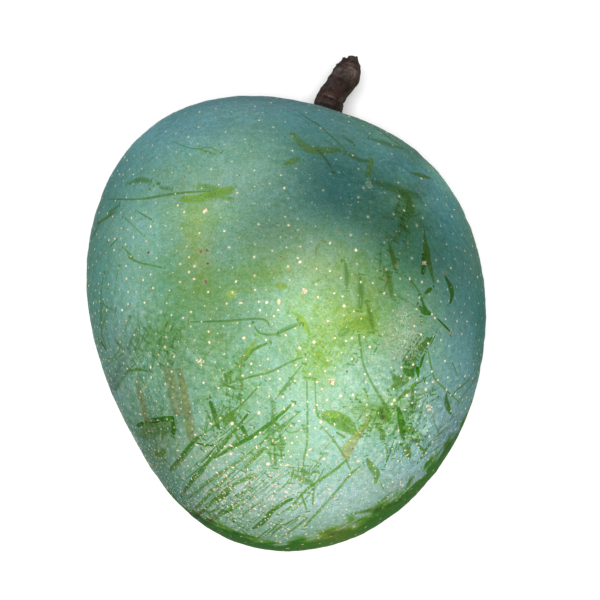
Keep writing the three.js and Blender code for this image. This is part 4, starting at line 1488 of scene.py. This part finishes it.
MARK_TONES = [  # as shares of the green of the bloom round the mark
    (0.0, (0.45, 0.62, 0.24)),
    (0.07, (0.07, 0.40, 0.005)),
    (0.28, (0.07, 0.40, 0.005)),
    (0.38, (0.14, 0.43, 0.04)),
    (0.56, (0.25, 0.58, 0.07)),
    (0.64, (0.36, 0.78, 0.24)),
    (0.72, (0.42, 0.88, 0.05)),
    (0.8, (0.60, 0.64, 0.15)),
    (0.87, (0.52, 0.68, 0.38)),
    (0.98, (0.52, 0.68, 0.38)),
    (1.0, (1.2, 2.0, 1.3)),
]
PORE_TONES = [
    (0.0, (0.62, 0.59, 0.42)),
    (0.2, (0.61, 0.51, 0.33)),
    (0.4, (0.58, 0.43, 0.28)),
    (0.6, (0.46, 0.29, 0.19)),
    (0.8, (0.16, 0.09, 0.05)),
    (1.0, (0.07, 0.045, 0.03)),
]


def skin_material():
    g = Graph("mango_skin")
    place = g.scaled(g.place(), 1 / MILLI)
    light, warm, cover = g.split("field")
    scurf, fleck, collar = g.split("spots")
    fine, cloud = g.noise(place, *FINE), g.noise(place, *CLOUD)
    patchy, fibres = g.noise(place, *PATCHY), g.noise(place, *FIBRES)
    cracks = g.cells(g.shifted(place, *THREADS["push"]), THREADS["scale"], "DISTANCE_TO_EDGE")
    threads = g.step(*THREADS["edge"], cracks)

    # The bloom over green skin: where it is thin the skin is darker, greener and less blue.
    noises = dict(fine=fine, cloud=cloud, patchy=patchy, fibres=fibres)
    wear = g.total(*g.swings(noises, WEAR))
    noises["blotch"] = g.noise(place, *BLOTCH)
    rub = g.split("rub")[0]
    wear = g.total(wear, g.product(rub, g.total(*g.swings(noises, RUB_WEAR))))
    hold = g.step(*WEAR_HOLD[0], cover, *WEAR_HOLD[1])
    bloom = g.total(cover, g.product(wear, hold), *g.swings(noises, BLOOM_SWAY))
    bloom = g.total(bloom, g.product(threads, g.minus(1.0, cover), THREADS["bloom"]))
    # The field's lightness, painted light and shade included, sets the level of the skin's green.
    shade = g.product(g.exp(light), SKIN_GREEN)
    green = g.product(shade, g.exp(wear))
    ruddy = g.line(g.total(warm, *g.swings(noises, WARMTH_SWAY)), *SKIN_RUDDY)
    red = g.product(green, ruddy, g.exp(g.product(wear, WORN_RED)))
    blue = g.product(green, g.step(*BLOOM_SPAN, bloom, *BLOOM_BLUE))
    colour = g.join(red, green, blue, "Color")

    # Marks, layer by layer. A ramp's colours stop at 1, so the tones are halved and the level doubled.
    bare = 0.0
    worn = g.line(fine, MARK_MOTTLE["fine"], g.product(patchy, MARK_MOTTLE["patchy"]))
    mottle = g.step(*MARK_MOTTLE["edge"], worn, *MARK_MOTTLE["holds"])
    level = g.product(shade, g.exp(g.product(wear, WORN_MARK)))
    under = g.grey(g.total(level, level))
    tones = [(at, tuple(0.5 * part for part in hue)) for at, hue in MARK_TONES]
    for k in range(MARK_LAYERS):
        along, across, half = g.split(f"mark_{k}")
        amount, tone, comb = g.split(f"kind_{k}")
        loose = g.line(half, *MARK_LOOSE)
        frayed = g.product(g.total(*g.swings(noises, EDGE_SWAY)), loose)
        depth = g.total(g.minus(half, g.math("ABSOLUTE", across)), frayed)
        soft = g.step(*MARK_SHOWS, amount, *MARK_SOFT)
        depth = g.minus(depth, g.product(half, g.minus(soft, MARK_SOFT[0]), MARK_DRAWN_IN))
        inside = g.step(-1.0, 1.0, g.math("DIVIDE", depth, g.line(half, soft, MARK_EDGE)))
        pace = [g.product(way, size) for way, size in zip((along, across), STREAK_PACE)]
        streaks = g.noise(g.join(*pace, float(k)), *STREAK_NOISE)
        floor = g.line(comb, *COMB)
        kept = g.step(floor, g.total(floor, COMB_EDGE), streaks)
        share = g.product(inside, kept, amount, mottle)
        hue = g.ramp(g.total(tone, *g.swings(dict(noises, streaks=streaks), TONE_SWAY)), tones)
        colour = g.mix(share, colour, g.mix(1.0, hue, under, "MULTIPLY"))
        bare = g.math("MAXIMUM", bare, share)

    # Scurf: pale threads over a brownish ground.
    loops = g.noise(g.shifted(place, *SCURF_LOOPS["push"]), *SCURF_LOOPS["noise"])
    loops = g.math("ABSOLUTE", g.swing(loops, 1.0))
    ground = g.product(g.step(*SCURF_UNDER, scurf), g.step(*SCURF_GAPS, patchy), SCURF_UNDER_MOST)
    colour = g.mix(ground, colour, SCURF_GROUND)
    lace = g.step(*SCURF_WIDTH, loops)
    lace = g.product(lace, g.step(*SCURF_THICK, g.total(fibres, g.swing(scurf, SCURF_MORE))))
    colour = g.mix(g.product(g.step(*SCURF_OVER, scurf), lace, SCURF_MOST), colour, SCURF_LACE)

    # Tiny dots and curls of cork towards the apex and the pale green round each lenticel.
    dots = g.step(*DOTS["edge"], g.cells(g.shifted(place, *DOTS["push"]), DOTS["scale"]))
    chosen = g.step(*DOTS["chosen"], g.noise(place, *DOTS["where"]))
    colour = g.mix(g.product(dots, chosen, fleck, DOTS["most"]), colour, CORK_DOT)
    curl = g.math("ABSOLUTE", g.swing(g.noise(place, *CURLS["noise"]), 1.0))
    sparse = g.step(*CURLS["chosen"], g.noise(g.shifted(place, *CURLS["push"]), *CURLS["where"]))
    curls = g.product(g.step(*CURLS["edge"], curl), sparse, fleck, CURL_MOST)
    colour = g.mix(curls, colour, CORK_CURL)
    pore_wide = g.split("pore_size")[1]
    off = g.minus(g.distance(place, g.attribute("pore")), pore_wide)
    halo = g.step(*HALO_EDGE, g.total(off, g.swing(fine, HALO_RAGGED)))
    colour = g.mix(g.product(halo, HALO_MOST), colour, PORE_HALO)

    # Crumbs of bloom, and dark specks, most where the skin is rubbed.
    speck = g.cells(g.shifted(place, *SPECKS["push"]), SPECKS["scale"])
    rarely = g.noise(place, *SPECKS["where"])
    seldom = g.minus(rarely, g.product(rub, SPECKS["rub"]))
    crumbs = [g.step(*SPECKS["crumb"], speck), g.step(*CRUMBS_WHERE, rarely)]
    crumbs.append(g.step(*CRUMBS_BLOOM[0], cover, *CRUMBS_BLOOM[1]))
    colour = g.mix(g.product(*crumbs), colour, BLOOM_CRUMB)
    specks = g.product(g.step(*SPECKS["dark"], speck), g.step(*SPECKS_WHERE, seldom), SPECKS_MOST)
    colour = g.mix(specks, colour, DARK_SPECK)

    # The corky collar round the stalk.
    corky = g.product(collar, g.step(*COLLAR_MOTTLE[0], patchy, *COLLAR_MOTTLE[1]))
    colour = g.mix(corky, colour, COLLAR_TINT)

    roughness = g.step(0.0, 1.0, bare, *SKIN_ROUGHNESS)
    relief = [g.product(fine, SKIN_FINE), g.product(patchy, SKIN_PATCHY), g.product(bare, MARK_DEEP)]
    relief.append(g.product(scurf, lace, SCURF_HIGH))
    return g.finish(colour, roughness, g.total(*relief), SKIN_SPECULAR)


def pore_material():
    g = Graph("mango_lenticels")
    place = g.scaled(g.place(), 1 / MILLI)
    tone, rise, chance = g.split("look")
    light, _, cover = g.split("field")
    grain = g.noise(place, *PORE_GRAIN)
    cork = g.ramp(g.total(tone, g.swing(grain, PORE_SWING)), PORE_TONES)
    # Bloom lies over some of them, most where it is thick, and the skin's painted shadow on the shoulder and
    # painted light elsewhere darken and lighten them.
    dusted = PORE_DUSTED
    level = g.math("MINIMUM", g.exp(g.product(light, PORE_LEVEL)), PORE_LIGHTEST)
    share = g.total(chance, g.product(cover, dusted["bloom"]), g.product(light, dusted["light"]))
    share = g.product(g.step(*dusted["edge"], share), g.step(*dusted["tone"], tone), dusted["most"])
    cork = g.mix(share, cork, PORE_DUST)
    foot = g.mix(g.step(*PORE_FOOT, chance), *PORE_FEET)
    colour = g.mix(g.step(*PORE_CAP, rise), foot, cork)
    colour = g.mix(1.0, colour, g.grey(level), "MULTIPLY")
    return g.finish(colour, PORE_ROUGHNESS, g.product(grain, PORE_HIGH), PORE_SPECULAR)


def bark_material():
    g = Graph("mango_stalk_bark")
    place = g.scaled(g.place(), 1 / MILLI)
    _, broken, side = g.split("bark")
    coarse, fine = g.noise(place, *BARK_COARSE), g.noise(place, *BARK_FINE)
    colour = g.ramp(coarse, BARK_TONES)
    sheen = g.step(*SHEEN_WHERE, g.noise(place, *SHEEN_PATCHES))
    sheen = g.product(sheen, g.step(*SHEEN_GRAIN, fine))
    colour = g.mix(g.product(sheen, SHEEN_MOST), colour, BARK_SHEEN)
    moss = g.product(g.step(*MOSS_SIDE, side), g.step(*MOSS_GRAIN, fine), MOSS_MOST)
    colour = g.mix(moss, colour, BARK_MOSS)
    colour = g.mix(g.product(broken, g.step(*BROKEN_GRAIN, coarse)), colour, BARK_BROKEN)
    # The listed tints, painted highlights, sheen and shade among them, laid over the bark.
    held = g.split("tint_held")[0]
    grain = g.total(1.0, g.swing(coarse, TINT_COARSE), g.swing(fine, TINT_FINE))
    tint = g.mix(1.0, g.attribute("tint"), g.grey(grain), "MULTIPLY")
    colour = g.mix(held, colour, tint)
    height = g.total(g.product(coarse, BARK_HIGH), g.product(fine, BARK_FINE_HIGH))
    roughness = g.step(*BARK_ROUGHNESS[0], fine, *BARK_ROUGHNESS[1])
    return g.finish(colour, roughness, height, BARK_SPECULAR)


# ---- Floor and light.
def make_studio():
    g = Graph("pale_floor")
    material = g.finish(g.mix(g.noise(g.place(), FLOOR_MOTTLE), *FLOOR_TINTS), FLOOR_ROUGHNESS)
    mesh = bpy.data.meshes.new("floor")
    corners = [(x * FLOOR_HALF, y * FLOOR_HALF, -FLOOR_DROP) for x, y in ((-1, -1), (1, -1), (1, 1), (-1, 1))]
    mesh.from_pydata(corners, [], [(0, 1, 2, 3)])
    mesh.materials.append(material)
    floor = add_object("floor", mesh)

    light = bpy.data.lights.new("key", "AREA")
    light.shape = "DISK"
    light.size = KEY_SIZE
    light.energy = KEY_POWER
    key = add_object("key", light)
    aim = turn_down(unit(TO_CAMERA - PICTURE_UP * KEY_LOWER))
    key.location = Vector(lay(np.zeros(3)) + aim * KEY_DISTANCE)
    key.rotation_mode = "QUATERNION"
    key.rotation_quaternion = Vector(-aim).to_track_quat("-Z", "Y")

    world = bpy.data.worlds.new("studio")
    bpy.context.scene.world = world
    world.use_nodes = True
    background = world.node_tree.nodes["Background"]
    background.inputs["Color"].default_value = (1, 1, 1, 1)
    background.inputs["Strength"].default_value = WORLD_STRENGTH
    bpy.context.scene.view_settings.view_transform = "Standard"


random = np.random.default_rng(20)
make_camera()
make_studio()
fruit, pores = make_fruit(random)
fruit.data.materials.append(skin_material())
pores.data.materials.append(pore_material())
stalk = make_stalk()
stalk.data.materials.append(bark_material())
for piece in (fruit, pores, stalk):
    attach(piece, "root")
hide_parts("fruit")
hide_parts("stalk")
